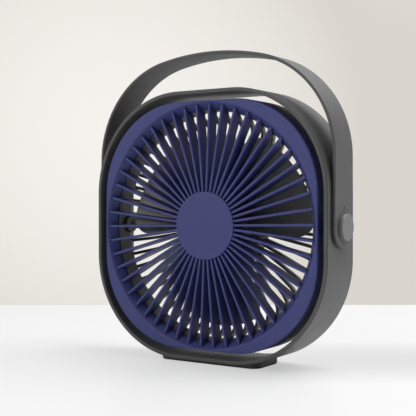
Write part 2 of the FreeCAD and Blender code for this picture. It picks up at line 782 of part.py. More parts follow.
def make_rear_housing():
    """The rear shell: side wall, web, duct, pivot bosses, domed back grille and motor pod."""
    housing = Piece("rear_housing")
    housing.pad("Y", "shell_joint", "rear_shell_reach",
                lambda sketch: shell_outline("shell_wall")(shell_outline("0")(sketch)))
    housing.pad("Y", "web_front", "duct_reach",
                lambda sketch: shell_outline("shell_wall / 2")(sketch).circle("duct_radius"))
    housing.pad("Y", "duct_front", "duct_reach", tube("duct_outer", "duct_radius"))
    add_pivot_bosses(housing)
    add_pod(housing)
    add_back_grille(housing)
    bore_pivot_bosses(housing)
    drill_pod(housing)
    housing.cut("Y", "web_front", "duct_reach", circles("core_bore", SHELL_SCREWS))
    screws("housing_screws", "Y", SHELL_SCREWS, "shell_screw_head",
           ("duct_reach", "duct_reach + shell_screw_head_thick"),
           "screw_core", ("web_front - shell_screw_grip + tip_clear", "duct_reach"))


def make_rear_cover():
    """The pod's cover, its screws, the light pipes and the button."""
    cover = Piece("rear_cover")
    cover.pad("Y", "cover_front", "pod_back", lambda sketch: sketch.circle("pod_inner - face_clear"))
    cover.cut("Y", "cover_front", "pod_back", circles("button_radius + face_clear", BUTTON))
    cover.cut("Y", "cover_front", "pod_back", inlet_slot("-face_clear"))
    cover.cut("Y", "cover_front", "pod_back", circles("light_radius + running_clear", LIGHTS))
    cover.cut("Y", "cover_front", "pod_back", circles("small_core_bore", COVER_SCREWS))
    head_seat = "pod_back - cover_screw_head_thick"
    cover.cut("Y", head_seat, "pod_back", circles("cover_screw_head + face_clear", COVER_SCREWS))
    screws("cover_screws", "Y", COVER_SCREWS, "cover_screw_head", (head_seat, "pod_back"),
           "small_screw_core", ("board_back + face_clear", head_seat))
    Piece("light_pipes").pad("Y", "board_back + led_thick + face_clear", "pod_back",
                             circles("light_radius", LIGHTS))
    button = Piece("power_button")
    button.pad("Y", "button_shoulder", "button_face", circles("button_radius", BUTTON))
    button.pad("Y", "button_shoulder - button_flange_thick", "button_shoulder",
               circles("button_flange", BUTTON))
    button.pad("Y", "plunger_back", "button_shoulder - button_flange_thick", circles("button_stem", BUTTON))
    Piece("switch_plunger").pad("Y", "switch_back - face_clear", "plunger_back",
                                circles("plunger_radius", BUTTON))


# ------------------------------------------------------------------------------------------------
# Electronics in the pod
# ------------------------------------------------------------------------------------------------
def blocks(half_across, half_up, places):
    """A drawing of equal rectangles about the places."""
    def draw(sketch):
        for across, up in places:
            sketch.rectangle(f"{across} - ({half_across})", f"{across} + {half_across}",
                             f"{up} - ({half_up})", f"{up} + {half_up}")
    return draw


def make_board():
    """The control board with its parts, switch, lights, inlet and screws."""
    board = Piece("control_board")
    board.pad("Y", "board_front", "board_back", lambda sketch: sketch.circle("board_radius"))
    board.cut("Y", "board_front", "board_back", circles("post_radius + slack", COVER_SCREWS))
    board.cut("Y", "board_front", "board_back", circles("small_core_bore", BOARD_SCREWS))
    Piece("control_chips").pad("Y", "board_back", "board_back + chip_thick", blocks(
        "chip_half", "chip_half", [("-chip_place", "0"), ("chip_place", "0"), ("0", "-chip_place")]))
    Piece("indicator_leds").pad("Y", "board_back", "board_back + led_thick",
                                blocks("led_half_length", "led_half_width", LIGHTS))
    switch = Piece("button_switch")
    switch.pad("Y", "board_back", "switch_back", blocks("switch_half", "switch_half", BUTTON))
    switch.cut("Y", "switch_back - button_travel - face_clear * 2", "switch_back",
               circles("plunger_radius + running_clear", BUTTON))
    screws("board_screws", "Y", BOARD_SCREWS, "board_screw_head",
           ("board_back", "board_back + board_screw_head_thick"),
           "small_screw_core", ("pod_floor - board_screw_head_thick + face_clear", "board_back"))
    mouth = "pod_back - inlet_recess"
    floor = "board_back + inlet_wall * 2"
    inlet = Piece("usb_inlet")
    inlet.pad("Y", "board_back", mouth, inlet_slot("0"))
    inlet.cut("Y", floor, mouth, inlet_slot("inlet_wall"))
    inlet.pad("Y", floor, f"{mouth} - inlet_wall * 2", blocks(
        "inlet_half_width - inlet_tongue_inset", "inlet_wall", [("0", "-inlet_place")]))


def make_battery():
    """The flat cell, the tape that holds it to the cover and its two leads."""
    cell = Piece("battery_cell")
    cell.pad("Y", "cell_front", "cell_back", lambda sketch: sketch
             .rounded("cell_half_length", "cell_half_height", "cell_thick / 3"))
    Piece("cell_tape").pad("Y", "cell_back", "cover_front", blocks(
        "tape_half_width", "cell_half_height - tape_inset", [("-tape_place", "0"), ("tape_place", "0")]))
    middle = (value("cell_front") + value("cell_back")) / 2
    floor = value("board_back")
    drop = middle - floor
    bend = 0.45 * drop
    solids = []
    for across in (-value("inlet_half_width") * 2, value("inlet_half_width") * 2):
        top = FreeCAD.Vector(across, middle, -value("cell_half_height"))
        knee = top - FreeCAD.Vector(0, 0, drop)
        end = knee - FreeCAD.Vector(0, drop, 0)
        bend_start = knee + FreeCAD.Vector(0, 0, bend)
        bend_end = knee - FreeCAD.Vector(0, bend, 0)
        centre = bend_start - FreeCAD.Vector(0, bend, 0)
        bend_middle = centre + (knee - centre) / math.sqrt(2)
        path = Part.Wire([Part.LineSegment(top, bend_start).toShape(),
                          Part.Arc(bend_start, bend_middle, bend_end).toShape(),
                          Part.LineSegment(bend_end, end).toShape()])
        ring = Part.Wire(Part.makeCircle(value("lead_radius"), top, FreeCAD.Vector(0, 0, -1)))
        solids.append(path.makePipeShell([ring], True, False))
    leads = doc.addObject("Part::Feature", "battery_leads")
    leads.Shape = Part.makeCompound(solids)
    lift(leads)


def lift(item):
    """Stands a computed sub-part at the pivot's height and lists it among the sub-parts."""
    item.Label = item.Name
    item.setExpression("Placement.Base.z", expand("axis_height"))
    pieces.append(item)


# ------------------------------------------------------------------------------------------------
# Motor
# ------------------------------------------------------------------------------------------------
def make_motor_base():
    """The plate with the bearing tube, its two bearings, its screws and the motor's leads."""
    seat = "bearing_radius + seat_clear"
    shoulder = "bearing_radius - bearing_step"
    front_bearing = "tube_front + face_clear"
    front_bearing_back = f"{front_bearing} + bearing_thick"
    base = Piece("motor_base")
    base.turn("Y", [
        ("tube_front", seat), ("tube_front", "tube_radius"), ("plate_front", "tube_radius"),
        ("plate_front", "plate_radius"), ("pod_front", "plate_radius"), ("pod_front", seat),
        ("rear_bearing_front", seat), ("rear_bearing_front", shoulder), (front_bearing_back, shoulder),
        (front_bearing_back, seat)])
    base.cut("Y", "plate_front", "pod_front", circles("small_core_bore", MOTOR_SCREWS))
    base.cut("Y", "plate_front", "pod_front", circles("lead_radius + lead_clear", MOTOR_LEADS))
    Piece("front_bearing").turn("Y", sleeve(front_bearing, front_bearing_back,
                                            "shaft_bore", "bearing_radius"))
    Piece("rear_bearing").turn("Y", sleeve("rear_bearing_front", "rear_bearing_back",
                                           "shaft_bore", "bearing_radius"))
    seat_level = "pod_floor - board_screw_head_thick"
    screws("motor_screws", "Y", MOTOR_SCREWS, "board_screw_head", (seat_level, "pod_floor"),
           "small_screw_core", ("plate_front", seat_level))
    Piece("motor_leads").pad("Y", "stack_back + coil_wall", "board_front",
                             circles("lead_radius", MOTOR_LEADS))


def make_stator():
    """The toothed iron core and its coils."""
    shoe = "(stator_radius - shoe_thick)"
    shoe_half = "(stator_radius * sin(15))"
    rim = f"sqrt(stator_radius ^ 2 - {shoe_half} ^ 2)"
    yoke = "tube_radius + yoke_wall"
    root = "tube_radius + yoke_wall / 2"
    core = Piece("stator_core")
    core.pad("Y", "stack_front", "stack_back", tube(yoke, "tube_radius + seat_clear"))
    tooth = core.pad("Y", "stack_front", "stack_back", lambda sketch: sketch.outline([
        (root, "-tooth_half"), (shoe, "-tooth_half"), (shoe, f"-{shoe_half}"), (rim, f"-{shoe_half}"),
        (rim, shoe_half, "stator_radius", 1), (shoe, shoe_half), (shoe, "tooth_half"), (root, "tooth_half")]))
    core.repeat(tooth, "tooth_count")
    coils = Piece("stator_coils")
    coil = coils.pad("X", f"{yoke} + slack", f"{shoe} - face_clear", lambda sketch: sketch
                     .rectangle("stack_front - coil_wall", "stack_back + coil_wall",
                                "-tooth_half - coil_wall", "tooth_half + coil_wall")
                     .rectangle("stack_front - running_clear", "stack_back + running_clear",
                                "-tooth_half - running_clear", "tooth_half + running_clear"))
    coils.repeat(coil, "tooth_count")


def make_rotor():
    """The bell, its magnet ring, the shaft and the clip that keeps the shaft in its bearings."""
    nose = "shaft_radius + bell_nose_wall"
    Piece("rotor_bell").turn("Y", [
        ("bell_front", "shaft_bore"), ("bell_front", "bell_outer"), ("bell_back", "bell_outer"),
        ("bell_back", "bell_inner"), ("bell_floor", "bell_inner"), ("bell_floor", nose),
        ("bell_floor + bell_wall", nose), ("bell_floor + bell_wall", "shaft_bore")])
    Piece("rotor_magnets").turn("Y", sleeve("bell_floor + bell_wall", "bell_back",
                                            "magnet_inner", "magnet_outer"))
    neck = "shaft_radius - clip_groove"
    clip_front = "pod_front + air_gap"
    clip_back = f"{clip_front} + air_gap"
    shaft_end = f"{clip_back} + air_gap * 2"
    Piece("motor_shaft").turn("Y", [
        ("bell_front", "0"), ("bell_front", "shaft_radius"), (f"{clip_front} - seat_clear", "shaft_radius"),
        (f"{clip_front} - seat_clear", neck), (f"{clip_back} + seat_clear", neck),
        (f"{clip_back} + seat_clear", "shaft_radius"), (shaft_end, "shaft_radius"), (shaft_end, "0")])
    clip = Piece("shaft_clip")
    clip.turn("Y", sleeve(clip_front, clip_back, f"{neck} + seat_clear", "clip_radius"))
    clip.cut("Y", clip_front, clip_back, lambda sketch: sketch
             .rectangle(f"-({neck})", neck, "-clip_radius - face_clear", "0"))


# ------------------------------------------------------------------------------------------------
# Impeller
# ------------------------------------------------------------------------------------------------
def on_circle(radius, angle):
    """The point at a radius and an angle in degrees, in the plane across the axis."""
    turn = math.radians(angle)
    return FreeCAD.Vector(radius * math.cos(turn), 0, radius * math.sin(turn))


def blade_plan():
    """The blade's outline seen along the axis: level leading edge, round tip, radial trailing edge."""
    tip = value("blade_tip")
    root = value("cup_radius") - value("cup_wall") / 2
    drop = value("blade_lead_drop")
    lead = value("blade_lead_corner")
    trail = value("blade_trail_corner")
    trail_angle = value("blade_trail_angle")
    lead_root = FreeCAD.Vector(math.sqrt(root ** 2 - drop ** 2), 0, -drop)
    lead_centre = FreeCAD.Vector(math.sqrt((tip - lead) ** 2 - (lead - drop) ** 2), 0, lead - drop)
    lead_start = FreeCAD.Vector(lead_centre.x, 0, -drop)
    lead_end = lead_centre * (tip / (tip - lead))
    trail_reach = math.sqrt((tip - trail) ** 2 - trail ** 2)
    trail_centre = on_circle(tip - trail, trail_angle - math.degrees(math.asin(trail / (tip - trail))))
    trail_start = trail_centre * (tip / (tip - trail))
    trail_end = on_circle(trail_reach, trail_angle)
    trail_root = on_circle(root, trail_angle)

    def bulge(centre, radius, first, last):
        """The middle of the short arc between two points about the centre."""
        return centre + ((first + last) * 0.5 - centre).normalize() * radius

    middle = FreeCAD.Vector(0, 0, 0)
    edges = [
        Part.LineSegment(lead_root, lead_start),
        Part.Arc(lead_start, bulge(lead_centre, lead, lead_start, lead_end), lead_end),
        Part.Arc(lead_end, bulge(middle, tip, lead_end, trail_start), trail_start),
        Part.Arc(trail_start, bulge(trail_centre, trail, trail_start, trail_end), trail_end),
        Part.LineSegment(trail_end, trail_root),
        Part.Arc(trail_root, bulge(middle, root, trail_root, lead_root), lead_root),
    ]
    return Part.Face(Part.Wire([edge.toShape() for edge in edges]))


def blade_level(radius, angle):
    """How far back the blade's front surface lies at a radius and an angle.

    The leading edge sweeps back evenly from the pod's rim, which it clears, to the blade's tip.
    """
    pod_sweep = value("cup_back - blade_thick - blade_front")
    share = (radius - value("pod_radius")) / value("blade_tip - pod_radius")
    sweep = pod_sweep + (value("blade_sweep") - pod_sweep) * share
    lead_angle = -math.degrees(math.asin(value("blade_lead_drop") / radius))
    trail_angle = value("blade_trail_angle")
    return value("blade_front") + sweep * (trail_angle - angle) / (trail_angle - lead_angle)


def make_blade():
    """One blade: a twisted sheet of even thickness, trimmed to the plan."""
    radii = [value("cup_radius") * 0.7 + step * value("blade_tip") / 12 for step in range(10)]
    angles = range(-50, 96, 12)
    grid = []
    for radius in radii:
        row = [on_circle(radius, angle) for angle in angles]
        grid.append([point + FreeCAD.Vector(0, blade_level(radius, angle), 0)
                     for point, angle in zip(row, angles)])
    surface = Part.BSplineSurface()
    surface.interpolate(grid)
    sheet = surface.toShape().extrude(FreeCAD.Vector(0, value("blade_thick"), 0))
    depth = value("pod_back - face")
    plan = blade_plan().extrude(FreeCAD.Vector(0, depth * 2, 0))
    plan.translate(FreeCAD.Vector(0, -depth, 0))
    return sheet.common(plan)


def make_impeller():
    """The hub cup with its bell sleeve and the wide blades, moulded in one."""
    hub = Piece("impeller_hub")
    pieces.remove(hub.body)
    skirt = "cup_radius - cup_wall"
    sleeve_inner = "bell_outer + running_clear"
    sleeve_outer = f"{sleeve_inner} + sleeve_wall"
    hub.turn("Y", [
        ("cup_front", "0"), ("cup_front", "cup_radius - cup_edge"),
        ("cup_front + cup_edge", "cup_radius", "cup_edge", -1), ("cup_back", "cup_radius"),
        ("cup_back", skirt), ("cup_floor", skirt), ("cup_floor", sleeve_outer),
        ("bell_back", sleeve_outer), ("bell_back", sleeve_inner), ("cup_floor", sleeve_inner),
        ("cup_floor", "0")])
    blade = make_blade()
    count = int(value("blade_count"))
    blades = []
    for number in range(count):
        item = doc.addObject("Part::Feature", "blade")
        item.Shape = blade.rotated(FreeCAD.Vector(0, 0, 0), FreeCAD.Vector(0, 1, 0), 360 * number / count)
        item.setExpression("Placement.Base.z", expand("axis_height"))
        blades.append(item)
    impeller = doc.addObject("Part::MultiFuse", "impeller")
    impeller.Label = "impeller"
    impeller.Shapes = [hub.body, *blades]
    pieces.append(impeller)


# ------------------------------------------------------------------------------------------------
# Checks and export
# ------------------------------------------------------------------------------------------------
def check_model():
    """Stops when a feature failed, a cut took nothing or a sub-part's shape is not valid."""
    faults = [item.Name for item in doc.Objects if {"Invalid", "Error"} & set(item.State)]
    for item in doc.Objects:
        if item.TypeId == "PartDesign::Pocket" and item.Shape.Volume >= item.BaseFeature.Shape.Volume - 1e-6:
            faults.append(f"{item.Name} in {item.getParentGeoFeatureGroup().Label} cuts nothing")
    faults += [item.Label for item in pieces if item.Shape.isNull() or not item.Shape.isValid()]
    if faults:
        raise RuntimeError("Faults in the model: " + ", ".join(faults))


def write_parts():
    """Writes each sub-part to a file of its name."""
    os.makedirs("parts", exist_ok=True)
    for item in pieces:
        item.Shape.exportStep(f"parts/{item.Label}.step")
        print(f"{item.Label}: {len(item.Shape.Solids)} solid(s), {item.Shape.Volume:.1f} mm3")


doc = FreeCAD.newDocument("desk_fan")
gauge = make_sheet()
pieces = []
make_stand_ring()
make_foot()
make_handle()
for side, name in ((1, "right"), (-1, "left")):
    make_pivot(side, name)
make_front_grille()
make_rear_housing()
make_rear_cover()
make_board()
make_battery()
make_motor_base()
make_stator()
make_rotor()
make_impeller()
doc.recompute()
check_model()
write_parts()
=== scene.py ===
"""The looks of a desk fan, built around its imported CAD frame.

Metres, +Z up, the front faces -Y.  The head and the handle turn about the pivot axis, which runs along X.
Outlines are written about that axis and lifted to its height when they become points.
"""

import json
import logging
import math
from dataclasses import dataclass, field
from enum import Enum
from typing import Callable, Optional, Sequence, Union

import bmesh
import bpy
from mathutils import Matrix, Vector


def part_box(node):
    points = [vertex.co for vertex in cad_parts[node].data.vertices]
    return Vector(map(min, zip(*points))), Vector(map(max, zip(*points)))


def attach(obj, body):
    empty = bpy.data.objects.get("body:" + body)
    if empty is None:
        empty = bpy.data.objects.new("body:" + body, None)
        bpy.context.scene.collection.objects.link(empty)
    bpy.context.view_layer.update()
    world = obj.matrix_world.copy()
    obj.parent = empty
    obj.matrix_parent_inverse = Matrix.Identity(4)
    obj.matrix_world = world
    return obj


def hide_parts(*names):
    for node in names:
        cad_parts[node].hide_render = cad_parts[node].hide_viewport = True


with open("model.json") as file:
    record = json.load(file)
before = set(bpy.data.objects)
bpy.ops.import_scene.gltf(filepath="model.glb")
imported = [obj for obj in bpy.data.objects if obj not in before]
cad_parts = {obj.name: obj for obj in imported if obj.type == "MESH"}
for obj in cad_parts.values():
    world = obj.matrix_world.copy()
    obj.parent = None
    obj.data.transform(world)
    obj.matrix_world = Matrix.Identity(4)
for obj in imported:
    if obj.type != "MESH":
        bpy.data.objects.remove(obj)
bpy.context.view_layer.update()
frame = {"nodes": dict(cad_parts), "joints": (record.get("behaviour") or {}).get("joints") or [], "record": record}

log = logging.getLogger("desk_fan")

Corner = tuple[float, ...]
Colour = tuple[float, float, float]
Number = Union["Signal", float]
Inputs = dict[Union[str, int], object]
Profile = Union[Sequence[Vector], Callable[[float], Sequence[Vector]]]
PIVOT = Vector(next(joint["pos_m"] for joint in frame["joints"] if joint["name"] == "head_tilt"))
ORIGIN = Vector((0.0, 0.0, 0.0))
FULL_TURN = 2.0 * math.pi
QUARTER_TURN = math.pi / 2.0
WELD = 1e-7
SHARP_ANGLE = math.radians(42.0)
LEAST_SLANT = 0.3
HAIR_EDGE, FINE_EDGE, SOFT_EDGE = 0.0002, 0.0003, 0.0006
BUSH_HOLE = 0.00548
OVERCUT = 1.1


class Body(Enum):
    """The rigid bodies that pieces ride on."""

    STAND = "stand"
    HANDLE = "handle"
    HEAD = "head"
    IMPELLER = "impeller"
    BUTTON = "button"


class Axis(Enum):
    """The axes that pieces are turned about."""

    X = "x"
    Y = "y"

    def place(self, along: float, radius: float, angle: float) -> Vector:
        """Gives a point on a circle about this axis.

        Args:
            along: Distance from the pivot along the axis.
            radius: Distance from the axis.
            angle: Turn about the axis, in radians.

        Returns:
            The point, counted from the pivot.
        """
        across, up = radius * math.cos(angle), radius * math.sin(angle)
        if self is Axis.X:
            return Vector((along, across, up))
        return Vector((across, along, up))


# --- Outlines ---
def rounded_path(corners: Sequence[Corner], step: float = math.radians(12.0)) -> list[Vector]:
    """Rounds the corners of a closed outline.

    Args:
        corners: The outline's corners as (first, second), with a radius after them where they are round.
        step: Largest turn between two points of an arc, in radians.

    Returns:
        The outline's points in order.
    """
    points: list[Vector] = []
    for index, (first, second, *radii) in enumerate(corners):
        here = Vector((first, second))
        if not radii:
            points.append(here)
            continue
        before = Vector(corners[index - 1][:2]) - here
        after = Vector(corners[(index + 1) % len(corners)][:2]) - here
        half = before.angle(after) / 2.0
        before.normalize()
        after.normalize()
        reach = radii[0] / math.tan(half)
        centre = here + (before + after).normalized() * radii[0] / math.sin(half)
        start = here + before * reach - centre
        turn = start.angle_signed(here + after * reach - centre)
        count = max(2, math.ceil(abs(turn) / step))
        for number in range(count + 1):
            angle = -turn * number / count
            cosine, sine = math.cos(angle), math.sin(angle)
            points.append(centre + Vector((start.x * cosine - start.y * sine, start.x * sine + start.y * cosine)))
    return points


def inset_loop(points: Sequence[Vector], distance: float) -> list[Vector]:
    """Moves a closed outline inwards by a distance.

    Args:
        points: The outline in order, either way round.
        distance: How far its edges move.

    Returns:
        As many points as were given.
    """
    area = sum(a.x * b.y - b.x * a.y for a, b in zip(points, [*points[1:], points[0]]))
    side = math.copysign(1.0, area)
    moved = []
    for index, point in enumerate(points):
        before = (point - points[index - 1]).normalized()
        after = (points[(index + 1) % len(points)] - point).normalized()
        normal = Vector((-before.y - after.y, before.x + after.x)).normalized() * side
        slant = max(LEAST_SLANT, normal.dot(Vector((-after.y, after.x)) * side))
        moved.append(point + normal * distance / slant)
    return moved


@dataclass(frozen=True)
class RoundedSquare:
    """A rectangle about the pivot with round corners, seen from the front."""

    half: float
    half_up: float
    corner: float

    def inset(self, distance: float) -> "RoundedSquare":
        """Gives the outline set in by a distance."""
        return RoundedSquare(self.half - distance, self.half_up - distance, self.corner - distance)

    def reach(self, angle: float) -> float:
        """Gives how far the outline is from the pivot in a direction from +X towards +Z, in radians."""
        across, up = abs(math.cos(angle)), abs(math.sin(angle))
        centre = Vector((self.half - self.corner, self.half_up - self.corner))
        if self.half * up <= centre.y * across:
            return self.half / across
        if self.half_up * across <= centre.x * up:
            return self.half_up / up
        along = across * centre.x + up * centre.y
        return along + math.sqrt(max(0.0, along * along - centre.length_squared + self.corner ** 2))


def rod(low: float, high: float, radius: float) -> list[Vector]:
    """Gives the profile of a rod between two places on its axis."""
    return rounded_path([(low, 0.0), (low, radius), (high, radius), (high, 0.0)])


# --- Meshes ---
class Form:
    """A mesh in the making."""

    def __init__(self) -> None:
        """Starts an empty mesh."""
        self.mesh = bmesh.new()

    def grid(self, rows: Sequence[Sequence[Vector]], wrap_rows: bool = False,
             wrap_columns: bool = False) -> list[list[bmesh.types.BMVert]]:
        """Adds a net of four-sided faces.

        Args:
            rows: Rows of points, all of one length, counted from the pivot.
            wrap_rows: Whether the last row joins the first.
            wrap_columns: Whether each row is a closed loop.

        Returns:
            The new vertices in the same rows.
        """
        net = [[self.mesh.verts.new(point + PIVOT) for point in row] for row in rows]
        for upper, lower in zip(net, net[1:] + net[:1] if wrap_rows else net[1:]):
            columns = len(upper) if wrap_columns else len(upper) - 1
            for column in range(columns):
                following = (column + 1) % len(upper)
                self.mesh.faces.new((upper[column], upper[following], lower[following], lower[column]))
        return net

    def turned(self, axis: Axis, profile: Profile, centre: Vector = ORIGIN, count: int = 96,
               closed: bool = False) -> "Form":
        """Adds a profile turned about an axis.

        Args:
            axis: The axis, through the centre.
            profile: Points of (along the axis, radius), or what gives them for a direction in radians.
            centre: A place on the axis, from the pivot.
            count: Number of steps round the axis.
            closed: Whether the profile is a loop; otherwise it starts and ends on the axis.

        Returns:
            This form.
        """
        rows = []
        for step in range(count):
            turn = FULL_TURN * step / count
            points = profile(turn) if callable(profile) else profile
            rows.append([axis.place(along, radius, turn) + centre for along, radius in points])
        self.grid(rows, wrap_rows=True, wrap_columns=closed)
        return self

    def plate(self, outline: Sequence[Vector], half_thick: float, edge: float,
              place: Callable[[Vector, float], Vector], steps: int = 3, capped: bool = True) -> "Form":
        """Adds a plate with rounded edges.

        Args:
            outline: The plate's closed outline.
            half_thick: Half its thickness.
            edge: Radius of its edges.
            place: Turns an outline point and a height from the middle into a point from the pivot.
            steps: Number of faces round an edge.
            capped: Whether each side is closed with one flat face.

        Returns:
            This form.
        """
        turns = [QUARTER_TURN * step / steps for step in range(steps + 1)]
        levels = [(half_thick - edge + edge * math.sin(turn), edge * (1.0 - math.cos(turn))) for turn in turns]
        levels = [(-height, inset) for height, inset in reversed(levels)] + levels
        rows = [[place(point, height) for point in inset_loop(outline, inset)] for height, inset in levels]
        net = self.grid(rows, wrap_columns=True)
        for loop in (net[0], net[-1]) if capped else ():
            self.mesh.faces.new(loop)
        return self

    def build(self, name: str) -> bpy.types.Object:
        """Makes the mesh an object of the scene.

        Args:
            name: The object's name.

        Returns:
        Returns:
            The object.
        """
        bmesh.ops.remove_doubles(self.mesh, verts=self.mesh.verts, dist=WELD)
        bmesh.ops.dissolve_degenerate(self.mesh, edges=self.mesh.edges, dist=WELD)
        bmesh.ops.recalc_face_normals(self.mesh, faces=self.mesh.faces)
        data = bpy.data.meshes.new(name)
        self.mesh.to_mesh(data)
        self.mesh.free()
        item = bpy.data.objects.new(name, data)
        bpy.context.scene.collection.objects.link(item)
        return item


def carve(item: bpy.types.Object, *tools: Form) -> None:
    """Takes closed forms away from an object.

    Args:
        item: The object that is cut.
        tools: The closed forms that cut it.
    """
    for form in tools:
        tool = form.build("tool")
        cut = item.modifiers.new("Cut", "BOOLEAN")
        cut.operation = "DIFFERENCE"
        cut.solver = "EXACT"
        cut.object = tool
        view = bpy.context.evaluated_depsgraph_get()
        carved = bpy.data.meshes.new_from_object(item.evaluated_get(view))
        item.modifiers.clear()
        blank, item.data = item.data, carved
        bpy.data.meshes.remove(blank)
        bpy.data.objects.remove(tool)
# --- Shader maths ---
def maths_operator(operation: str, swapped: bool = False) -> Callable[["Signal", Number], "Signal"]:
    """Makes an operator of Signal.

    Args:
        operation: The Math node's operation.
        swapped: Whether the signal is its second input.

    Returns:
        The operator.
    """
    def apply(signal: "Signal", other: Number) -> "Signal":
        """Applies the operation."""
        return signal.maths(operation, *((other, signal) if swapped else (signal, other)))

    return apply


class Signal:
    """A shader socket that takes part in arithmetic."""

    def __init__(self, shader: "Shader", socket: bpy.types.NodeSocket) -> None:
        """Wraps a socket of a shader."""
        self.shader = shader
        self.socket = socket

    def maths(self, operation: str, *values: Number, clamp: bool = False) -> "Signal":
        """Adds one Math node.

        Args:
            operation: The node's operation.
            values: Its inputs in order.
            clamp: Whether its result stays from 0 to 1.

        Returns:
            The node's result.
        """
        return self.shader.node("ShaderNodeMath", dict(enumerate(values)), operation=operation, use_clamp=clamp)

    __add__ = __radd__ = maths_operator("ADD")
    __sub__ = maths_operator("SUBTRACT")
    __rsub__ = maths_operator("SUBTRACT", swapped=True)
    __mul__ = __rmul__ = maths_operator("MULTIPLY")
    __gt__ = maths_operator("GREATER_THAN")
    at_most = maths_operator("MINIMUM")

    def wave(self) -> "Signal":
        """Gives the sine."""
        return self.maths("SINE", self)

    def clamped(self) -> "Signal":
        """Gives this kept from 0 to 1."""
        return self.maths("ADD", self, 0.0, clamp=True)


class Shader:
    """A node tree that is built by calls."""

    MIX_SHARE, MIX_FIRST, MIX_SECOND, MIX_RESULT = 0, 6, 7, 2

    def __init__(self, owner: Union[bpy.types.Material, bpy.types.World]) -> None:
        """Empties the tree of a material or a world."""
        owner.use_nodes = True
        self.tree = owner.node_tree
        self.tree.nodes.clear()

    def node(self, kind: str, inputs: Optional[Inputs] = None, output: Union[str, int] = 0,
             **settings: object) -> Signal:
        """Adds a node.

        Args:
            kind: The node's type.
            inputs: Values or signals for its sockets, by name or number.
            output: The socket that is wanted.
            settings: Its properties, set first.

        Returns:
            The wanted output.
        """
        made = self.tree.nodes.new(kind)
        for name, setting in settings.items():
            setattr(made, name, setting)
        for name, value in (inputs or {}).items():
            if isinstance(value, Signal):
                self.tree.links.new(value.socket, made.inputs[name])
            else:
                made.inputs[name].default_value = value
        return Signal(self, made.outputs[output])

    def end(self, surface: Signal, kind: str = "ShaderNodeOutputMaterial") -> None:
        """Ends the tree in an output of a kind."""
        self.tree.links.new(surface.socket, self.tree.nodes.new(kind).inputs["Surface"])

    def place(self) -> Signal:
        """Gives the point in the piece's own space, in metres."""
        return self.node("ShaderNodeTexCoord", output="Object")

    def seen(self) -> Signal:
        """Gives 1 where the camera looks straight at the surface, and else 0."""
        return self.node("ShaderNodeLightPath", output="Is Camera Ray")

    def part(self, vector: Signal, letter: str) -> Signal:
        """Gives one part of a vector, by its letter."""
        return self.node("ShaderNodeSeparateXYZ", {0: vector}, letter)

    def stretched(self, vector: Signal, scale: Sequence[float]) -> Signal:
        """Gives a vector scaled along each axis."""
        return self.node("ShaderNodeVectorMath", {0: vector, 1: scale}, operation="MULTIPLY")

    def along(self, vector: Signal, towards: Vector) -> Signal:
        """Gives how far a vector reaches in a direction."""
        return self.node("ShaderNodeVectorMath", {0: vector, 1: tuple(towards)}, "Value", operation="DOT_PRODUCT")

    def noise(self, vector: Signal, scale: float, detail: float) -> Signal:
        """Gives cloudy noise.

        Args:
            vector: Where it is read.
            scale: Its number of clouds to the metre.
            detail: How many finer layers it has.

        Returns:
            The noise, about 0.5.
        """
        return self.node("ShaderNodeTexNoise", {"Vector": vector, "Scale": scale, "Detail": detail}, "Fac")

    def cells(self, vector: Signal, scale: float, **settings: object) -> Signal:
        """Gives a distance within scattered cells, by their number to the metre."""
        return self.node("ShaderNodeTexVoronoi", {"Vector": vector, "Scale": scale}, "Distance", **settings)

    def mixed(self, share: Signal, first: Union[Signal, Colour], second: Union[Signal, Colour]) -> Signal:
        """Mixes two colours.

        Args:
            share: The second colour's share.
            first: The first colour.
            second: The second colour.

        Returns:
            The mixed colour.
        """
        ends = [colour if isinstance(colour, Signal) else (*colour, 1.0) for colour in (first, second)]
        inputs = {self.MIX_SHARE: share, self.MIX_FIRST: ends[0], self.MIX_SECOND: ends[1]}
        return self.node("ShaderNodeMix", inputs, self.MIX_RESULT, data_type="RGBA")

    def bump(self, height: Signal, depth: float, strength: float) -> Signal:
        """Gives a normal that follows a height.

        Args:
            height: The height, from 0 to 1.
            depth: How many metres 1 stands for.
            strength: Share of the effect.

        Returns:
            The bent normal.
        """
        return self.node("ShaderNodeBump", {"Height": height, "Distance": depth, "Strength": strength})

# --- Finishes ---
def tinted(colour: Colour, share: float) -> Colour:
    """Gives a colour made brighter or darker by a share."""
    return tuple(min(1.0, channel * share) for channel in colour)


@dataclass(frozen=True)
class Finish:
    """What every finish has."""

    colour: Colour
    roughness: float

    def look(self, shader: Shader, place: Signal) -> Inputs:
        """Gives the inputs of the surface.

        Args:
            shader: The shader that is filled.
            place: The point in the piece's own space.

        Returns:
            The inputs by name.
        """
        raise NotImplementedError

    def shades(self, shader: Shader, share: Signal, dark: float, light: float = 1.0) -> Signal:
        """Mixes a darker and a lighter share of the colour."""
        return shader.mixed(share, tinted(self.colour, dark), tinted(self.colour, light))

    def rough(self, pattern: Signal, swing: float) -> Signal:
        """Gives the roughness, swung by a pattern about 0.5."""
        return self.roughness + (pattern - 0.5) * swing

    def material(self, name: str) -> bpy.types.Material:
        """Gives the material of this finish, made once for each slot's name."""
        made = bpy.data.materials.get(f"{name}_finish")
        if made is None:
            made = bpy.data.materials.new(f"{name}_finish")
            shader = Shader(made)
            shader.end(shader.node("ShaderNodeBsdfPrincipled", self.look(shader, shader.place())))
        return made


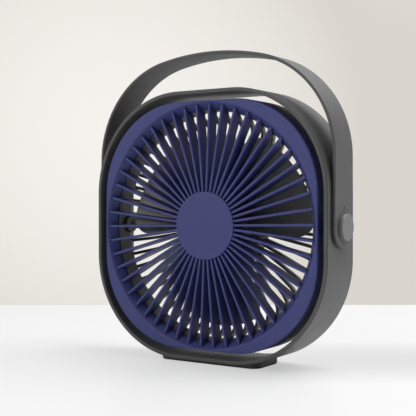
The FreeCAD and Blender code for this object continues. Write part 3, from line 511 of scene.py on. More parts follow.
@dataclass(frozen=True)
class Moulded(Finish):
    """Moulded plastic with a fine eroded grain and faint flow marks."""

    grain_depth: float = 0.00002
    grain_swing: float = 0.08
    flow: Colour = (1.0, 1.0, 0.35)
    specular: float = 0.5

    def look(self, shader: Shader, place: Signal) -> Inputs:
        """Gives the inputs of the surface."""
        clouds = shader.noise(place, scale=45.0, detail=3.0)
        grain = shader.noise(place, scale=2600.0, detail=1.0)
        smears = shader.noise(shader.stretched(place, self.flow), scale=120.0, detail=4.0)
        return {"Base Color": self.shades(shader, clouds, dark=0.95, light=1.05),
                "Roughness": self.rough(smears, swing=0.12) + (grain - 0.5) * self.grain_swing,
                "Normal": shader.bump(grain, self.grain_depth, strength=0.6),
                "Specular IOR Level": self.specular}


@dataclass(frozen=True)
class Clouded(Finish):
    """Rubber, foil, foam or clear plastic: one pattern for colour and roughness, and it or pits for relief."""

    scale: float = 100.0
    detail: float = 0.0
    dark: float = 1.0
    light: float = 1.0
    swing: float = 0.2
    pits: float = 0.0
    depth: float = 0.0
    strength: float = 0.5
    more: tuple[tuple[str, float], ...] = ()

    def look(self, shader: Shader, place: Signal) -> Inputs:
        """Gives the inputs of the surface, with cells as its pattern where the clouds have no detail."""
        clouds = shader.noise(place, self.scale, self.detail) if self.detail else shader.cells(place, self.scale)
        look = {"Base Color": self.shades(shader, clouds, self.dark, self.light),
                "Roughness": self.rough(clouds, self.swing), **dict(self.more)}
        if self.depth:
            relief = shader.cells(place, self.pits) if self.pits else clouds
            look["Normal"] = shader.bump(relief, self.depth, self.strength)
        return look


@dataclass(frozen=True)
class Metal(Finish):
    """Bare or plated metal with fine marks along one direction."""

    marks: Colour = (1.0, 1.0, 1.0)
    scale: float = 900.0

    def look(self, shader: Shader, place: Signal) -> Inputs:
        """Gives the inputs of the surface."""
        streaks = shader.noise(shader.stretched(place, self.marks), self.scale, detail=3.0)
        stains = shader.noise(place, scale=110.0, detail=4.0)
        return {"Base Color": self.shades(shader, stains, dark=0.82, light=1.08),
                "Metallic": 1.0,
                "Roughness": self.rough(streaks, swing=0.25),
                "Normal": shader.bump(streaks, depth=0.00001, strength=0.5)}


@dataclass(frozen=True)
class Layered(Finish):
    """Metal made of thin layers or turns of wire stacked along Y."""

    pitch: float = 0.00035
    groove: float = 0.00006
    ridge_share: float = 0.6

    def look(self, shader: Shader, place: Signal) -> Inputs:
        """Gives the inputs of the surface."""
        ridge = (shader.part(place, "Y") * (FULL_TURN / self.pitch)).wave() * 0.5 + 0.5
        tarnish = shader.noise(place, scale=260.0, detail=3.0)
        blend = (ridge * self.ridge_share + tarnish * (1.0 - self.ridge_share)).clamped()
        return {"Base Color": self.shades(shader, blend, dark=0.45),
                "Metallic": 1.0,
                "Roughness": self.rough(tarnish, swing=0.2),
                "Normal": shader.bump(ridge, self.groove, strength=0.8)}


@dataclass(frozen=True)
class SolderMask(Finish):
    """A lacquered circuit board with tracks under the lacquer."""

    track: Colour = (0.05, 0.3, 0.12)
    gap: float = 0.09

    def look(self, shader: Shader, place: Signal) -> Inputs:
        """Gives the inputs of the surface."""
        tracks = 1.0 - (shader.cells(place, scale=260.0, feature="DISTANCE_TO_EDGE") > self.gap)
        return {"Base Color": shader.mixed(tracks, self.colour, self.track),
                "Roughness": self.rough(tracks, swing=0.1),
                "Normal": shader.bump(tracks, depth=0.00003, strength=0.7)}


@dataclass(frozen=True)
class WirePair(Finish):
    """Glossy insulation, of another colour on the left lead."""

    left: Colour = (0.02, 0.02, 0.02)

    def look(self, shader: Shader, place: Signal) -> Inputs:
        """Gives the inputs of the surface."""
        sheen = shader.noise(place, scale=500.0, detail=2.0)
        return {"Base Color": shader.mixed(shader.part(place, "X") > 0.0, self.left, self.colour),
                "Roughness": self.rough(sheen, swing=0.1)}


RUBBER = {"scale": 90.0, "detail": 5.0, "light": 1.8, "pits": 1400.0, "depth": 0.00003,
          "more": (("Specular IOR Level", 0.3),)}
FINISHES: dict[str, Finish] = {
    "stand_charcoal": Moulded((0.064, 0.064, 0.064), 0.52, specular=0.34),
    "handle_charcoal": Moulded((0.064, 0.064, 0.064), 0.52, specular=0.34),
    "plinth_charcoal": Moulded((0.04, 0.04, 0.042), 0.55),
    "foot_rubber": Clouded((0.018, 0.018, 0.018), 0.85, **RUBBER),
    "cap_grey": Moulded((0.12, 0.12, 0.122), 0.4),
    "spacer_dark": Moulded((0.03, 0.03, 0.031), 0.5),
    "washer_rubber": Clouded((0.02, 0.02, 0.02), 0.8, **RUBBER),
    "bush_acetal": Moulded((0.7, 0.69, 0.65), 0.35),
    "grille_blue": Moulded((0.041, 0.048, 0.158), 0.5, specular=0.25),
    "housing_dark": Moulded((0.065, 0.066, 0.067), 0.45),
    "cover_dark": Moulded((0.022, 0.022, 0.024), 0.5),
    "blade_dark": Moulded((0.125, 0.125, 0.126), 0.4, grain_depth=0.000008),
    "button_grey": Moulded((0.12, 0.12, 0.122), 0.4),
    "plunger_white": Moulded((0.75, 0.75, 0.73), 0.3),
    "pipe_clear": Clouded((0.8, 0.85, 0.88), 0.15, scale=400.0, detail=3.0, dark=0.9, swing=0.08,
                          more=(("Transmission Weight", 0.6), ("IOR", 1.49))),
    "screw_steel": Metal((0.6, 0.6, 0.61), 0.3),
    "screw_black": Metal((0.05, 0.05, 0.05), 0.45),
    "shaft_steel": Metal((0.62, 0.62, 0.64), 0.2, marks=(1.0, 40.0, 1.0)),
    "bearing_steel": Metal((0.66, 0.66, 0.68), 0.18, marks=(1.0, 20.0, 1.0)),
    "bell_steel": Metal((0.52, 0.52, 0.54), 0.3, marks=(1.0, 30.0, 1.0)),
    "magnet_grey": Moulded((0.06, 0.06, 0.065), 0.6),
    "stator_iron": Layered((0.35, 0.37, 0.4), 0.4),
    "coil_copper": Layered((0.72, 0.27, 0.1), 0.3, pitch=0.0003, groove=0.0001),
    "motor_zinc": Metal((0.58, 0.58, 0.6), 0.45, scale=400.0),
    "board_green": SolderMask((0.01, 0.12, 0.045), 0.3),
    "chip_black": Moulded((0.02, 0.02, 0.021), 0.5),
    "led_white": Moulded((0.8, 0.78, 0.6), 0.3),
    "inlet_steel": Metal((0.62, 0.62, 0.62), 0.25),
    "cell_foil": Clouded((0.6, 0.6, 0.58), 0.35, scale=140.0, detail=6.0, dark=0.8, depth=0.0004, strength=0.6,
                         more=(("Metallic", 0.9),)),
    "tape_foam": Clouded((0.75, 0.74, 0.7), 0.925, scale=1500.0, dark=0.7, swing=0.05, depth=0.0001,
                         strength=1.0),
    "lead_yellow": Moulded((0.65, 0.42, 0.03), 0.3),
    "lead_red": WirePair((0.5, 0.02, 0.02), 0.3),
}


# --- Pieces ---
def keep(item: bpy.types.Object, body: Body, slot: str, *nodes: str) -> None:
    """Dresses a finished piece, makes it ride on its body and lets it stand for CAD nodes.

    Args:
        item: The piece.
        body: The body it rides on.
        slot: The record's material slot that it takes its finish from.
        nodes: The CAD nodes that it stands for.
    """
    item.data.materials.clear()
    item.data.materials.append(FINISHES[slot].material(slot))
    item.data.shade_smooth()
    item.data.set_sharp_from_angle(angle=SHARP_ANGLE)
    item.modifiers.new("Weighted", "WEIGHTED_NORMAL").keep_sharp = True
    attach(item, body.value)
    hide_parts(*nodes)
    log.info("%s rides on %s, %d faces", item.name, body.value, len(item.data.polygons))


def pivot_bore(half: float) -> Form:
    """Gives the closed rod that bores a part of some half width for its bushes."""
    return Form().turned(Axis.X, rod(-half * OVERCUT, half * OVERCUT, BUSH_HOLE), count=64)


@dataclass
class Stand:
    """The round-cornered ring; its foot keeps the CAD shape."""

    corner: float = 0.0763
    wall: float = 0.00265
    edge: float = 0.0006
    groove_place: float = 0.0007
    groove_depth: float = 0.0005
    groove_width: float = 0.0009
    groove_slant: float = 0.00018
    arc_step: float = math.radians(23.0)
    steps: int = 240

    def build(self) -> None:
        """Makes the ring."""
        low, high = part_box("stand_ring")
        outline = RoundedSquare(high.x, high.z - PIVOT.z, self.corner)
        half = (high.y - low.y) / 2.0
        start = self.groove_place - half
        end = start + self.groove_width
        section = rounded_path([
            (0.0, -half, self.edge), (0.0, start), (self.groove_depth, start + self.groove_slant),
            (self.groove_depth, end - self.groove_slant), (0.0, end), (0.0, half, self.edge),
            (self.wall, half, self.edge), (self.wall, -half, self.edge)], self.arc_step)
        form = Form().turned(Axis.Y, lambda turn: [(point.y, outline.inset(point.x).reach(turn))
                                                   for point in section], count=self.steps, closed=True)
        ring = form.build("ring")
        carve(ring, pivot_bore(outline.half))
        keep(ring, Body.STAND, "stand_charcoal", "stand_ring")
@dataclass
class Handle:
    """The band that swings over the ring."""

    thick: float = 0.0024
    shoulder: float = 0.05
    corner: float = 0.076
    crown: float = 0.2
    eye: float = 0.0148
    top_half: float = 0.0137
    edge: float = 0.0007
    tick_low: float = 0.0118
    tick_length: float = 0.0032
    tick_width: float = 0.0007
    tick_depth: float = 0.0003
    tick_corner: float = 0.000315
    eye_steps: int = 15
    stations: int = 110
    cap_steps: int = 4
    half: float = field(init=False)
    corner_turn: float = field(init=False)
    corner_run: float = field(init=False)
    half_run: float = field(init=False)

    def __post_init__(self) -> None:
        """Reads the handle's width from the frame and works out its runs."""
        self.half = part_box("handle")[1].x
        self.corner_turn = math.acos((self.half - self.corner) / (self.crown - self.corner))
        self.corner_run = self.shoulder + self.corner * self.corner_turn
        self.half_run = self.corner_run + self.crown * (math.pi / 2.0 - self.corner_turn)

    def bend(self, run: float, across: float, depth: float) -> Vector:
        """Bends the flat band into its arch.

        Args:
            run: Distance along the band from the right pivot, over the top, to the left one.
            across: Distance from the band's middle line.
            depth: Distance below its outer face.

        Returns:
            The point from the pivot.
        """
        mirrored = run > self.half_run
        here = 2.0 * self.half_run - run if mirrored else run
        if here <= self.shoulder:
            point = Vector((self.half - depth, 0.0, here))
        elif here <= self.corner_run:
            turn = (here - self.shoulder) / self.corner
            reach = self.corner - depth
            point = Vector((self.half - self.corner + reach * math.cos(turn), 0.0,
                            self.shoulder + reach * math.sin(turn)))
        else:
            turn = self.corner_turn + (here - self.corner_run) / self.crown
            reach = self.crown - depth
            fall = math.sqrt((self.crown - self.corner) ** 2 - (self.half - self.corner) ** 2)
            point = Vector((reach * math.cos(turn), 0.0, self.shoulder - fall + reach * math.sin(turn)))
        point.y = across
        if mirrored:
            point.x = -point.x
        return point

    def side_points(self) -> list[Vector]:
        """Gives one long side of the flat band, from the lowest point of one eye to the other's."""
        turns = [QUARTER_TURN * step / self.eye_steps for step in range(1, self.eye_steps + 1)]
        start = [Vector((-self.eye * math.cos(turn), self.eye * math.sin(turn))) for turn in turns]
        middle = []
        for step in range(1, self.stations):
            run = 2.0 * self.half_run * step / self.stations
            share = min(run, 2.0 * self.half_run - run) / self.half_run
            middle.append(Vector((run, self.eye + (self.top_half - self.eye) * math.sin(share * QUARTER_TURN))))
        finish = [Vector((2.0 * self.half_run - point.x, point.y)) for point in reversed(start)]
        return start + middle + finish

    def build(self) -> None:
        """Makes the band with its eyes and index ticks."""
        side = self.side_points()
        tips = [Vector((-self.eye, 0.0)), Vector((2.0 * self.half_run + self.eye, 0.0))]
        outline = [tips[0], *side, tips[1], *[Vector((point.x, -point.y)) for point in reversed(side)]]
        form = Form().plate(outline, self.thick / 2.0, self.edge, lambda point, height: self.bend(
            point.x, point.y, self.thick / 2.0 + height), capped=False)
        loop = inset_loop(outline, self.edge)
        pairs = [(loop[-number], loop[number]) for number in range(1, len(side) + 1)]
        pairs = [(loop[0], loop[0]), *pairs, (loop[len(side) + 1], loop[len(side) + 1])]
        shares = [step / self.cap_steps for step in range(self.cap_steps + 1)]
        for depth in (0.0, self.thick):
            form.grid([[self.bend(*low.lerp(high, share), depth) for share in shares] for low, high in pairs])
        band = form.build("carry_handle")
        carve(band, pivot_bore(self.half), self.tick(1.0), self.tick(-1.0))
        keep(band, Body.HANDLE, "handle_charcoal", "handle")

    def tick(self, side: float) -> Form:
        """Makes the closed bar that cuts the index tick on the right, or with -1.0 on the left."""
        wide, long = self.tick_width / 2.0, self.tick_length / 2.0
        bar = rounded_path([(across, up, self.tick_corner)
                            for across, up in ((-wide, -long), (wide, -long), (wide, long), (-wide, long))])
        return Form().plate(bar, self.tick_depth, 0.0, lambda point, height: Vector(
            (side * (self.half + height), point.x, self.tick_low + long + point.y)), steps=1)


@dataclass
class PivotCaps:
    """The round caps that close both pivots, with their spindles."""

    radius: float = 0.0094
    stand: float = 0.00295
    edge: float = 0.0006
    dish: float = 0.00012
    dish_radius: float = 0.00658
    spindle: float = 0.004
    arc_step: float = math.radians(15.0)

    def build(self) -> None:
        """Makes both caps."""
        for name, side in (("right", 1.0), ("left", -1.0)):
            inner, outer = sorted(abs(corner.x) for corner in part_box(f"pivot_cap_{name}"))
            seat = outer - self.stand
            profile = rounded_path([
                (inner, 0.0), (inner, self.spindle, FINE_EDGE), (seat, self.spindle),
                (seat, self.radius, HAIR_EDGE), (outer, self.radius, self.edge),
                (outer, self.dish_radius), (outer - self.dish, 0.0)], self.arc_step)
            cap = Form().turned(Axis.X, [(side * along, radius) for along, radius in profile]).build(f"cap_{name}")
            keep(cap, Body.HEAD, "cap_grey", f"pivot_cap_{name}")


@dataclass
class Shell:
    """What both halves of the head share: an outline, a section all round and straight ribs."""

    node: str
    rib_phase: float
    rib_thick: float
    rib_edge: float
    rib_count: int = 50
    corner: float = 0.0688
    wall: float = 0.0016
    joint: float = -0.006
    steps: int = 400
    outline: RoundedSquare = field(init=False)
    front: float = field(init=False)
    back: float = field(init=False)

    def __post_init__(self) -> None:
        """Reads the shell's size from the frame."""
        low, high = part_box(self.node)
        self.outline = RoundedSquare(high.x, high.z - PIVOT.z, self.corner)
        self.front, self.back = low.y, high.y

    def section(self, angle: float) -> list[Vector]:
        """Gives the closed section in a direction, as (place along Y, distance from the axis)."""
        raise NotImplementedError

    def rib_outline(self) -> list[Vector]:
        """Gives the side view of a rib as (distance from the axis, place along Y)."""
        raise NotImplementedError

    def ribbed(self) -> Form:
        """Gives the shell with its ribs."""
        form = Form().turned(Axis.Y, self.section, count=self.steps, closed=True)
        outline = self.rib_outline()
        for number in range(self.rib_count):
            angle = self.rib_phase + FULL_TURN * number / self.rib_count
            outwards = Vector((math.cos(angle), 0.0, math.sin(angle)))
            sidewards = Vector((-math.sin(angle), 0.0, math.cos(angle)))
            form.plate(outline, self.rib_thick / 2.0, self.rib_edge, lambda point, height: (
                outwards * point.x + sidewards * height + Vector((0.0, point.y, 0.0))))
        return form


@dataclass
class FrontGrille(Shell):
    """The front cover: face, funnel mouth, straight ribs and hub disc."""

    node: str = "front_grille"
    rib_phase: float = math.radians(1.13)
    rib_thick: float = 0.0019
    rib_edge: float = 0.00057
    rib_recess: float = 0.0009
    rib_depth: float = 0.0103
    rib_bend: float = 0.0012
    rib_drop: float = 0.00132
    rib_gap: float = 0.0012
    rib_notch: float = 0.0023
    rib_step: float = math.radians(10.0)
    face_thick: float = 0.002
    rim_edge: float = 0.0012
    lip_edge: float = 0.0015
    mouth_edge: float = 0.0016
    flare_start: float = 0.0912
    flare_run: float = 0.0051
    flare_depth: float = 0.007
    mouth_land: float = 0.00065
    disc: float = 0.0251
    disc_edge: float = 0.0005
    skirt: float = 0.0016
    boss_place: float = 0.094
    boss_radius: float = 0.003

    @property
    def mouth(self) -> float:
        """Gives the mouth's inner radius."""
        return self.flare_start - self.flare_run

    @property
    def mouth_back(self) -> float:
        """Gives where the mouth ends along Y."""
        return self.front + self.flare_depth + self.mouth_land

    @property
    def rib_back(self) -> float:
        """Gives where the ribs and the disc's skirt end along Y."""
        return self.front + self.rib_recess + self.rib_depth

    def section(self, angle: float) -> list[Vector]:
        """Gives the closed section in one direction."""
        rim = self.outline.reach(angle)
        inner_rim = self.outline.inset(self.wall).reach(angle)
        land = (rim - self.flare_start) / 2.0
        lip = min(self.lip_edge, land / math.tan(math.atan2(self.flare_depth, self.flare_run) / 2.0))
        steepness = self.flare_depth / self.flare_run
        cone_start = self.flare_start + self.wall / math.sin(math.atan2(self.flare_depth, self.flare_run))
        outer_mouth = self.mouth + self.wall
        level = max(self.face_thick, (cone_start - inner_rim) * steepness)
        face, joint = self.front, self.joint
        return rounded_path([
            (joint, rim, FINE_EDGE), (face, rim, min(self.rim_edge, land)), (face, self.flare_start, lip),
            (face + self.flare_depth, self.mouth, self.mouth_edge), (self.mouth_back, self.mouth),
            (self.mouth_back, outer_mouth), (face + (cone_start - outer_mouth) * steepness, outer_mouth),
            (face + level, cone_start - level / steepness), (face + level, inner_rim), (joint, inner_rim)])

    def rib_outline(self) -> list[Vector]:
        """Gives the side view of a rib as (distance from the axis, place along Y)."""
        front = self.front + self.rib_recess
        root = self.disc - self.skirt / 2.0
        nose = self.flare_start - self.rib_gap
        outer = self.mouth + self.wall / 2.0
        notch = outer - self.rib_notch
        return rounded_path([
            (root, front), (nose, front, self.rib_bend), (nose, front + self.rib_drop),
            (outer, self.front + self.flare_depth), (outer, self.mouth_back), (notch, self.mouth_back),
            (notch, self.rib_back, self.disc_edge), (root, self.rib_back)], self.rib_step)

    def build(self) -> None:
        """Makes the cover as one piece."""
        form = self.ribbed()
        inner = self.disc - self.skirt
        floor = self.front + self.face_thick
        form.turned(Axis.Y, rounded_path([
            (self.front, 0.0), (self.front, self.disc, self.disc_edge), (self.rib_back, self.disc, FINE_EDGE),
            (self.rib_back, inner, FINE_EDGE), (floor, inner), (floor, 0.0)]), count=160)
        boss = rod(self.front + self.face_thick / 2.0, self.back, self.boss_radius)
        for quarter in range(4):
            form.turned(Axis.Y, boss, Axis.Y.place(0.0, self.boss_place, QUARTER_TURN * (quarter + 0.5)), count=32)
        keep(form.build("blue_grille"), Body.HEAD, "grille_blue", "front_grille")


@dataclass
class RearHousing(Shell):
    """The dark rear shell: duct, web, domed ribs, pivot bosses and motor pod."""

    node: str = "rear_housing"
    rib_phase: float = math.radians(2.0)
    rib_thick: float = 0.0024
    rib_edge: float = 0.00084
    rib_depth: float = 0.004
    rib_bend: float = 0.006
    outer_bend: float = 0.0084
    rib_step: float = math.radians(8.0)
    arc_step: float = math.radians(18.0)
    edge: float = 0.0004
    lip_edge: float = 0.0013
    reach: float = 0.0085
    web_back: float = 0.0014
    duct: float = 0.085
    duct_front: float = -0.0126
    shoulder: float = 0.074
    shoulder_drop: float = 0.002
    shoulder_run: float = 0.005
    rib_sink: float = 0.0004
    pod: float = 0.033
    pod_wall: float = 0.0018
    pod_front: float = 0.0064
    pod_edge: float = 0.0012
    pod_bore: float = 0.0045
    boss: float = 0.007
    boss_end: float = 0.0825
    boss_seat: float = 0.0849
    spindle_end: float = 0.0865
    spindle_bore: float = 0.00405
    screw_cup: float = 0.0032
    screw_bore: float = 0.00123

    def section(self, angle: float) -> list[Vector]:
        """Gives the closed section in one direction."""
        rim = self.outline.reach(angle)
        inner_rim = self.outline.inset(self.wall).reach(angle)
        web_front = self.web_back - self.wall
        duct_outer = self.duct + self.wall
        return rounded_path([
            (self.joint, rim, self.edge), (self.reach, rim, self.edge), (self.reach, inner_rim, self.edge),
            (self.web_back, inner_rim, self.edge), (self.web_back, self.duct, self.lip_edge),
            (self.duct_front, self.duct, self.edge), (self.duct_front, duct_outer, self.edge),
            (web_front, duct_outer), (web_front, inner_rim), (self.joint, inner_rim)], self.arc_step)

    def rib_outline(self) -> list[Vector]:
        """Gives the side view of a rib as (distance from the axis, place along Y)."""
        flat = self.back - self.rib_sink - self.rib_depth
        fold = flat - self.shoulder_drop
        foot = self.duct + self.wall / 2.0
        root = self.web_back - self.wall / 2.0
        run, rise = foot - self.shoulder, fold - root
        slant = math.hypot(run, rise)
        out, back = self.rib_depth * rise / slant, self.rib_depth * run / slant
        inner = self.pod - self.pod_wall / 2.0
        flat_end = self.shoulder - self.shoulder_run
        return rounded_path([
            (inner, flat), (flat_end, flat, self.rib_bend), (self.shoulder, fold, self.rib_bend), (foot, root),
            (foot + out, root), (foot + out, root + back, self.edge),
            (self.shoulder + out, fold + back, self.outer_bend),
            (flat_end + out / 2.0, flat + self.rib_depth, self.outer_bend), (inner, flat + self.rib_depth)],
            self.rib_step)

    def build(self) -> None:
        """Makes the shell as one piece."""
        form = self.ribbed()
        inner = self.pod - self.pod_wall
        floor = self.pod_front + self.pod_wall
        form.turned(Axis.Y, rounded_path([
            (self.pod_front, self.pod_bore, FINE_EDGE), (self.pod_front, self.pod, self.pod_edge),
            (self.back, self.pod, SOFT_EDGE), (self.back, inner, HAIR_EDGE), (floor, inner),
            (floor, self.pod_bore, FINE_EDGE)]), count=160, closed=True)
        end = self.outline.half - self.wall
        for side in (1.0, -1.0):
            form.turned(Axis.X, rounded_path([
                (side * self.boss_end, self.screw_cup, FINE_EDGE), (side * self.boss_end, self.boss, SOFT_EDGE),
                (side * end, self.boss), (side * end, self.spindle_bore),
                (side * self.spindle_end, self.spindle_bore), (side * self.spindle_end, self.screw_bore),
                (side * self.boss_seat, self.screw_bore), (side * self.boss_seat, self.screw_cup)]),
                count=72, closed=True)
        keep(form.build("rear_shell"), Body.HEAD, "housing_dark", "rear_housing")
@dataclass
class Impeller:
    """The hub and its wide twisted blades."""

    tip: float = 0.076
    root: float = 0.0252
    pod: float = 0.033
    thick: float = 0.0016
    sweep: float = 0.0195
    pod_sweep: float = 0.01125
    lead_drop: float = 0.0082
    lead_corner: float = 0.015
    trail_angle: float = math.radians(67.0)
    trail_corner: float = 0.014
    count: int = 3
    front: float = -0.00765
    hub_front: float = -0.00775
    hub_back: float = 0.0052
    edge: float = 0.0008
    hub: float = 0.026
    hub_wall: float = 0.0016
    hub_edge: float = 0.0015
    sleeve_inner: float = 0.02003
    sleeve_wall: float = 0.0013
    floor_bend: float = 0.0005
    sleeve_bend: float = 0.0004
    rows: int = 36
    columns: int = 30

    def level(self, radius: float, angle: float) -> float:
        """Gives the place along Y of a blade's front face, at a radius and in a direction."""
        share = (radius - self.pod) / (self.tip - self.pod)
        sweep = self.pod_sweep + (self.sweep - self.pod_sweep) * share
        lead = -math.asin(self.lead_drop / radius)
        return self.front + sweep * (self.trail_angle - angle) / (self.trail_angle - lead)

    def rounded_edge(self, radius: float, corner: float, drop: float = 0.0) -> float:
        """Gives where a straight edge of a blade, with a round corner at the tip, is at a radius.

        Args:
            radius: Distance from the axis.
            corner: The corner's radius.
            drop: How far the edge's line passes from the axis.

        Returns:
            The direction in radians, counted from the edge's line towards the blade.
        """
        reach, rise = self.tip - corner, corner - drop
        if radius <= math.hypot(math.sqrt(reach ** 2 - rise ** 2), drop):
            return -math.asin(drop / radius)
        cosine = (radius ** 2 + reach ** 2 - corner ** 2) / (2.0 * radius * reach)
        return math.asin(rise / reach) - math.acos(max(-1.0, min(1.0, cosine)))

    def blade_rows(self, turn: float, face: float) -> list[list[Vector]]:
        """Gives one face of a blade.

        Args:
            turn: The blade's turn about the axis, in radians.
            face: -1 for the front face and 1 for the back one.

        Returns:
            Rows of points from the root to the tip.
        """
        rows = []
        for row in range(self.rows + 1):
            share = math.sin(QUARTER_TURN * row / self.rows)
            radius = self.root + (self.tip - self.root) * share
            lead = self.rounded_edge(radius, self.lead_corner, self.lead_drop)
            trail = self.trail_angle - self.rounded_edge(radius, self.trail_corner)
            points = []
            for column in range(self.columns + 1):
                along = 0.5 - 0.5 * math.cos(math.pi * column / self.columns)
                angle = lead + (trail - lead) * along
                side_gap = min(along, 1.0 - along) * (trail - lead) * radius
                gap = min(side_gap, self.tip - radius)
                near = max(0.0, 1.0 - gap / self.edge)
                swell = math.sqrt(max(0.0, 1.0 - near * near)) * self.thick / 2.0
                place = Axis.Y.place(self.level(radius, angle) + self.thick / 2.0 + face * swell, radius,
                                     angle + turn)
                points.append(place)
            rows.append(points)
        return rows

    def build(self) -> None:
        """Makes the hub and the blades as one piece."""
        form = Form()
        for number in range(self.count):
            faces = [self.blade_rows(FULL_TURN * number / self.count, face) for face in (-1.0, 1.0)]
            for rows in (*faces, [face[0] for face in faces]):
                form.grid(rows)
        bell_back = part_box("rotor_bell")[1].y
        floor = self.hub_front + self.hub_wall
        skirt = self.hub - self.hub_wall
        sleeve = self.sleeve_inner + self.sleeve_wall
        form.turned(Axis.Y, rounded_path([
            (self.hub_front, 0.0), (self.hub_front, self.hub, self.hub_edge), (self.hub_back, self.hub, FINE_EDGE),
            (self.hub_back, skirt, FINE_EDGE), (floor, skirt, self.floor_bend), (floor, sleeve, self.sleeve_bend),
            (bell_back, sleeve, HAIR_EDGE), (bell_back, self.sleeve_inner, HAIR_EDGE), (floor, self.sleeve_inner),
            (floor, 0.0)]), count=128)
        keep(form.build("blades"), Body.IMPELLER, "blade_dark", "impeller")


@dataclass
class PushButton:
    """The power button with its dished face."""

    radius: float = 0.0046
    edge: float = 0.0006
    dish: float = 0.0003
    dish_rim: float = 0.00345
    dish_floor: float = 0.00184
    dish_bend: float = 0.0008
    flange: float = 0.0056
    flange_front: float = 0.0173
    stem: float = 0.002
    shoulder: float = 0.0185

    def build(self) -> None:
        """Makes the button."""
        low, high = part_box("power_button")
        centre = Vector((0.0, 0.0, (low.z + high.z) / 2.0 - PIVOT.z))
        floor = high.y - self.dish
        profile = rounded_path([
            (low.y, 0.0), (low.y, self.stem, HAIR_EDGE), (self.flange_front, self.stem),
            (self.flange_front, self.flange, HAIR_EDGE), (self.shoulder, self.flange, HAIR_EDGE),
            (self.shoulder, self.radius), (high.y, self.radius, self.edge), (high.y, self.dish_rim, FINE_EDGE),
            (floor, self.dish_floor, self.dish_bend), (floor, 0.0)])
        button = Form().turned(Axis.Y, profile, centre, count=64).build("push_button")
        keep(button, Body.BUTTON, "button_grey", "power_button")
@dataclass
class InnerParts:
    """The CAD nodes that keep their shape and only get a finish."""

    def build(self) -> None:
        """Gives each CAD node the finish of its material slot."""
        for entry in frame["record"]["subparts"]:
            node = frame["nodes"][entry["node"]]
            slot = entry["material_slot"]
            for place in node.material_slots:
                place.material = FINISHES[slot].material(slot)
            log.info("%s has finish %s", entry["node"], slot)


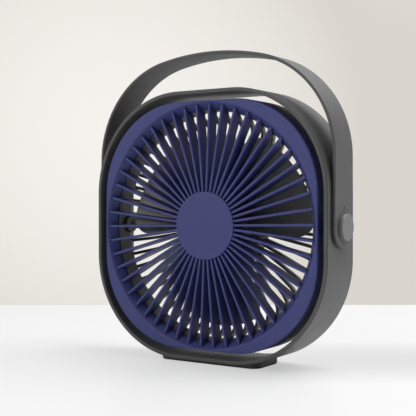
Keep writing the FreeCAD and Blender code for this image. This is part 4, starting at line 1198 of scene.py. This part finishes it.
# --- Studio ---
@dataclass
class Studio:
    """Table, backdrop, lamps and camera."""

    camera_place: Vector = field(default_factory=lambda: Vector((0.374, -0.58515, 0.1219)))
    camera_yaw: float = math.radians(33.27)
    camera_pitch: float = math.radians(-0.569)
    lens: float = 79.76
    sensor: float = 36.0
    table_depth: float = 1.058
    table_side: float = 3.0
    table_colour: Colour = (0.87, 0.87, 0.87)
    table_stain: float = 0.985
    table_roughness: float = 0.3
    table_swing: float = 0.05
    table_glow: Colour = (0.84, 0.84, 0.842)
    table_share: float = 0.7
    # Painted shadow: a dark band in the table's glow at the fan's depth stands in for the fan's soft shadow on the
    # table; its colour, share, depth from the camera, fall-off and fall-off to the side.
    painted_shadow_colour: Colour = (0.0, 0.0, 0.0)
    painted_shadow_share: float = 0.26
    painted_shadow_place: float = 0.695
    painted_shadow_fall: float = 11.0
    painted_shadow_side_fall: float = 4.5
    backdrop_near: Colour = (0.913, 0.888, 0.847)
    backdrop_far: Colour = (0.701, 0.665, 0.624)
    backdrop_across: float = -0.106
    backdrop_up: float = 0.075
    backdrop_fall: float = 27.8
    bounce: Colour = (0.675, 0.675, 0.68)
    room: float = 0.09
    ahead_lobe: tuple[float, float] = (0.1, 0.93)
    glows: tuple[tuple[Colour, tuple[float, float], float], ...] = (
        ((-0.64, -0.77, 0.1), (0.2, 0.95), 0.6), ((0.0, 0.7, 0.72), (0.75, 1.0), 0.5))
    lamps: tuple[tuple[str, Colour, float, float], ...] = (
        ("key", (0.42, 0.25, 1.1), 0.9, 21.0), ("front", (-0.75, -1.2, 0.8), 0.9, 9.8),
        ("side", (1.05, 0.85, 0.2), 0.4, 2.0))
    forward: Vector = field(init=False)
    rightward: Vector = field(init=False)

    def __post_init__(self) -> None:
        """Works out the camera's level direction and its right."""
        cosine, sine = math.cos(self.camera_yaw), math.sin(self.camera_yaw)
        self.forward, self.rightward = Vector((-sine, cosine, 0.0)), Vector((cosine, sine, 0.0))

    def build(self) -> None:
        """Makes everything round the fan."""
        self.add_camera()
        self.add_table()
        self.add_world()
        self.add_lamps()
        settings = bpy.context.scene.view_settings
        settings.view_transform = "Standard"

    def add_camera(self) -> None:
        """Adds the camera."""
        data = bpy.data.cameras.new("camera")
        data.lens = self.lens
        data.sensor_width = self.sensor
        data.clip_start = 0.01
        item = bpy.data.objects.new("camera", data)
        item.location = self.camera_place
        item.rotation_euler = (math.pi / 2.0 + self.camera_pitch, 0.0, self.camera_yaw)
        bpy.context.scene.collection.objects.link(item)
        bpy.context.scene.camera = item

    def add_table(self) -> None:
        """Adds the pale table top, square to the camera's direction, with an even glow laid over it; a painted
        shadow band darkens that glow at the fan's depth, more towards the right.
        """
        ground = Vector((self.camera_place.x, self.camera_place.y, 0.0))
        far = ground + self.forward * self.table_depth
        near = far - self.forward * self.table_side
        side = self.rightward * self.table_side / 2.0
        form = Form()
        form.grid([[end - side - PIVOT, end + side - PIVOT] for end in (near, far)])
        table = form.build("table")
        made = bpy.data.materials.new("table_top")
        shader = Shader(made)
        place = shader.place()
        clouds = shader.noise(place, scale=3.0, detail=2.0)
        top = shader.node("ShaderNodeBsdfPrincipled", {
            "Base Color": shader.mixed(clouds, tinted(self.table_colour, self.table_stain), self.table_colour),
            "Roughness": self.table_roughness + (clouds - 0.5) * self.table_swing})
        # Painted shadow band: darkest at the fan's depth from the camera, fading nearer and farther, and stronger
        # towards the right.
        away = shader.along(place, self.forward) - self.forward.dot(ground) - self.painted_shadow_place
        across = shader.along(place, self.rightward) - self.rightward.dot(ground)
        depth = away * self.painted_shadow_fall
        painted_shadow_rightward_share = (across * self.painted_shadow_side_fall + 0.5).clamped()
        band = (1.0 - (depth * depth).at_most(1.0)) * painted_shadow_rightward_share * self.painted_shadow_share
        # Painted shadow: where the band lies, the even glow is mixed towards black.
        glow = shader.node("ShaderNodeEmission", {"Color": shader.mixed(band, self.table_glow, self.painted_shadow_colour)})
        shader.end(shader.node("ShaderNodeMixShader", {0: shader.seen() * self.table_share, 1: top, 2: glow}))
        table.data.materials.append(made)

    def add_world(self) -> None:
        """Adds the room: a pale backdrop ahead, a dim front and soft glows at the left and above.

        A glow is given by its direction, the cosines where it starts and is full, and its strength.
        """
        world = bpy.data.worlds.new("studio")
        bpy.context.scene.world = world
        shader = Shader(world)
        direction = shader.node("ShaderNodeTexCoord", output="Generated")
        brightest = self.forward + self.rightward * self.backdrop_across + Vector((0.0, 0.0, self.backdrop_up))
        fall = ((1.0 - shader.along(direction, brightest.normalized())) * self.backdrop_fall).at_most(1.0)
        strength = self.room
        for towards, (low, high), share in ((self.forward, self.ahead_lobe, 1.0 - self.room), *self.glows):
            cosine = shader.along(direction, Vector(towards).normalized())
            lobe = shader.node("ShaderNodeMapRange", {"Value": cosine, "From Min": low, "From Max": high},
                               interpolation_type="SMOOTHSTEP")
            strength = strength + lobe * share
        backdrop = shader.mixed(fall, self.backdrop_near, self.backdrop_far)
        shader.end(shader.node("ShaderNodeBackground", {
            "Color": shader.mixed(shader.seen(), self.bounce, backdrop), "Strength": strength}),
            "ShaderNodeOutputWorld")

    def add_lamps(self) -> None:
        """Adds the soft square lamps, given by name, place, side and power in watts; each faces the fan."""
        for name, place, size, power in self.lamps:
            data = bpy.data.lights.new(name, "AREA")
            data.shape = "SQUARE"
            data.size = size
            data.energy = power
            item = bpy.data.objects.new(name, data)
            item.location = place
            item.rotation_euler = (PIVOT - Vector(place)).to_track_quat("-Z", "Y").to_euler()
            bpy.context.scene.collection.objects.link(item)


def main() -> None:
    """Builds the studio and each sub-assembly in order."""
    logging.basicConfig(level=logging.INFO, format="%(name)s: %(message)s")
    for maker in (Studio(), InnerParts(), Stand(), Handle(), PivotCaps(), FrontGrille(), RearHousing(),
                  Impeller(), PushButton()):
        maker.build()
        log.info("built %s", type(maker).__name__)


if __name__ == "__main__":
    main()
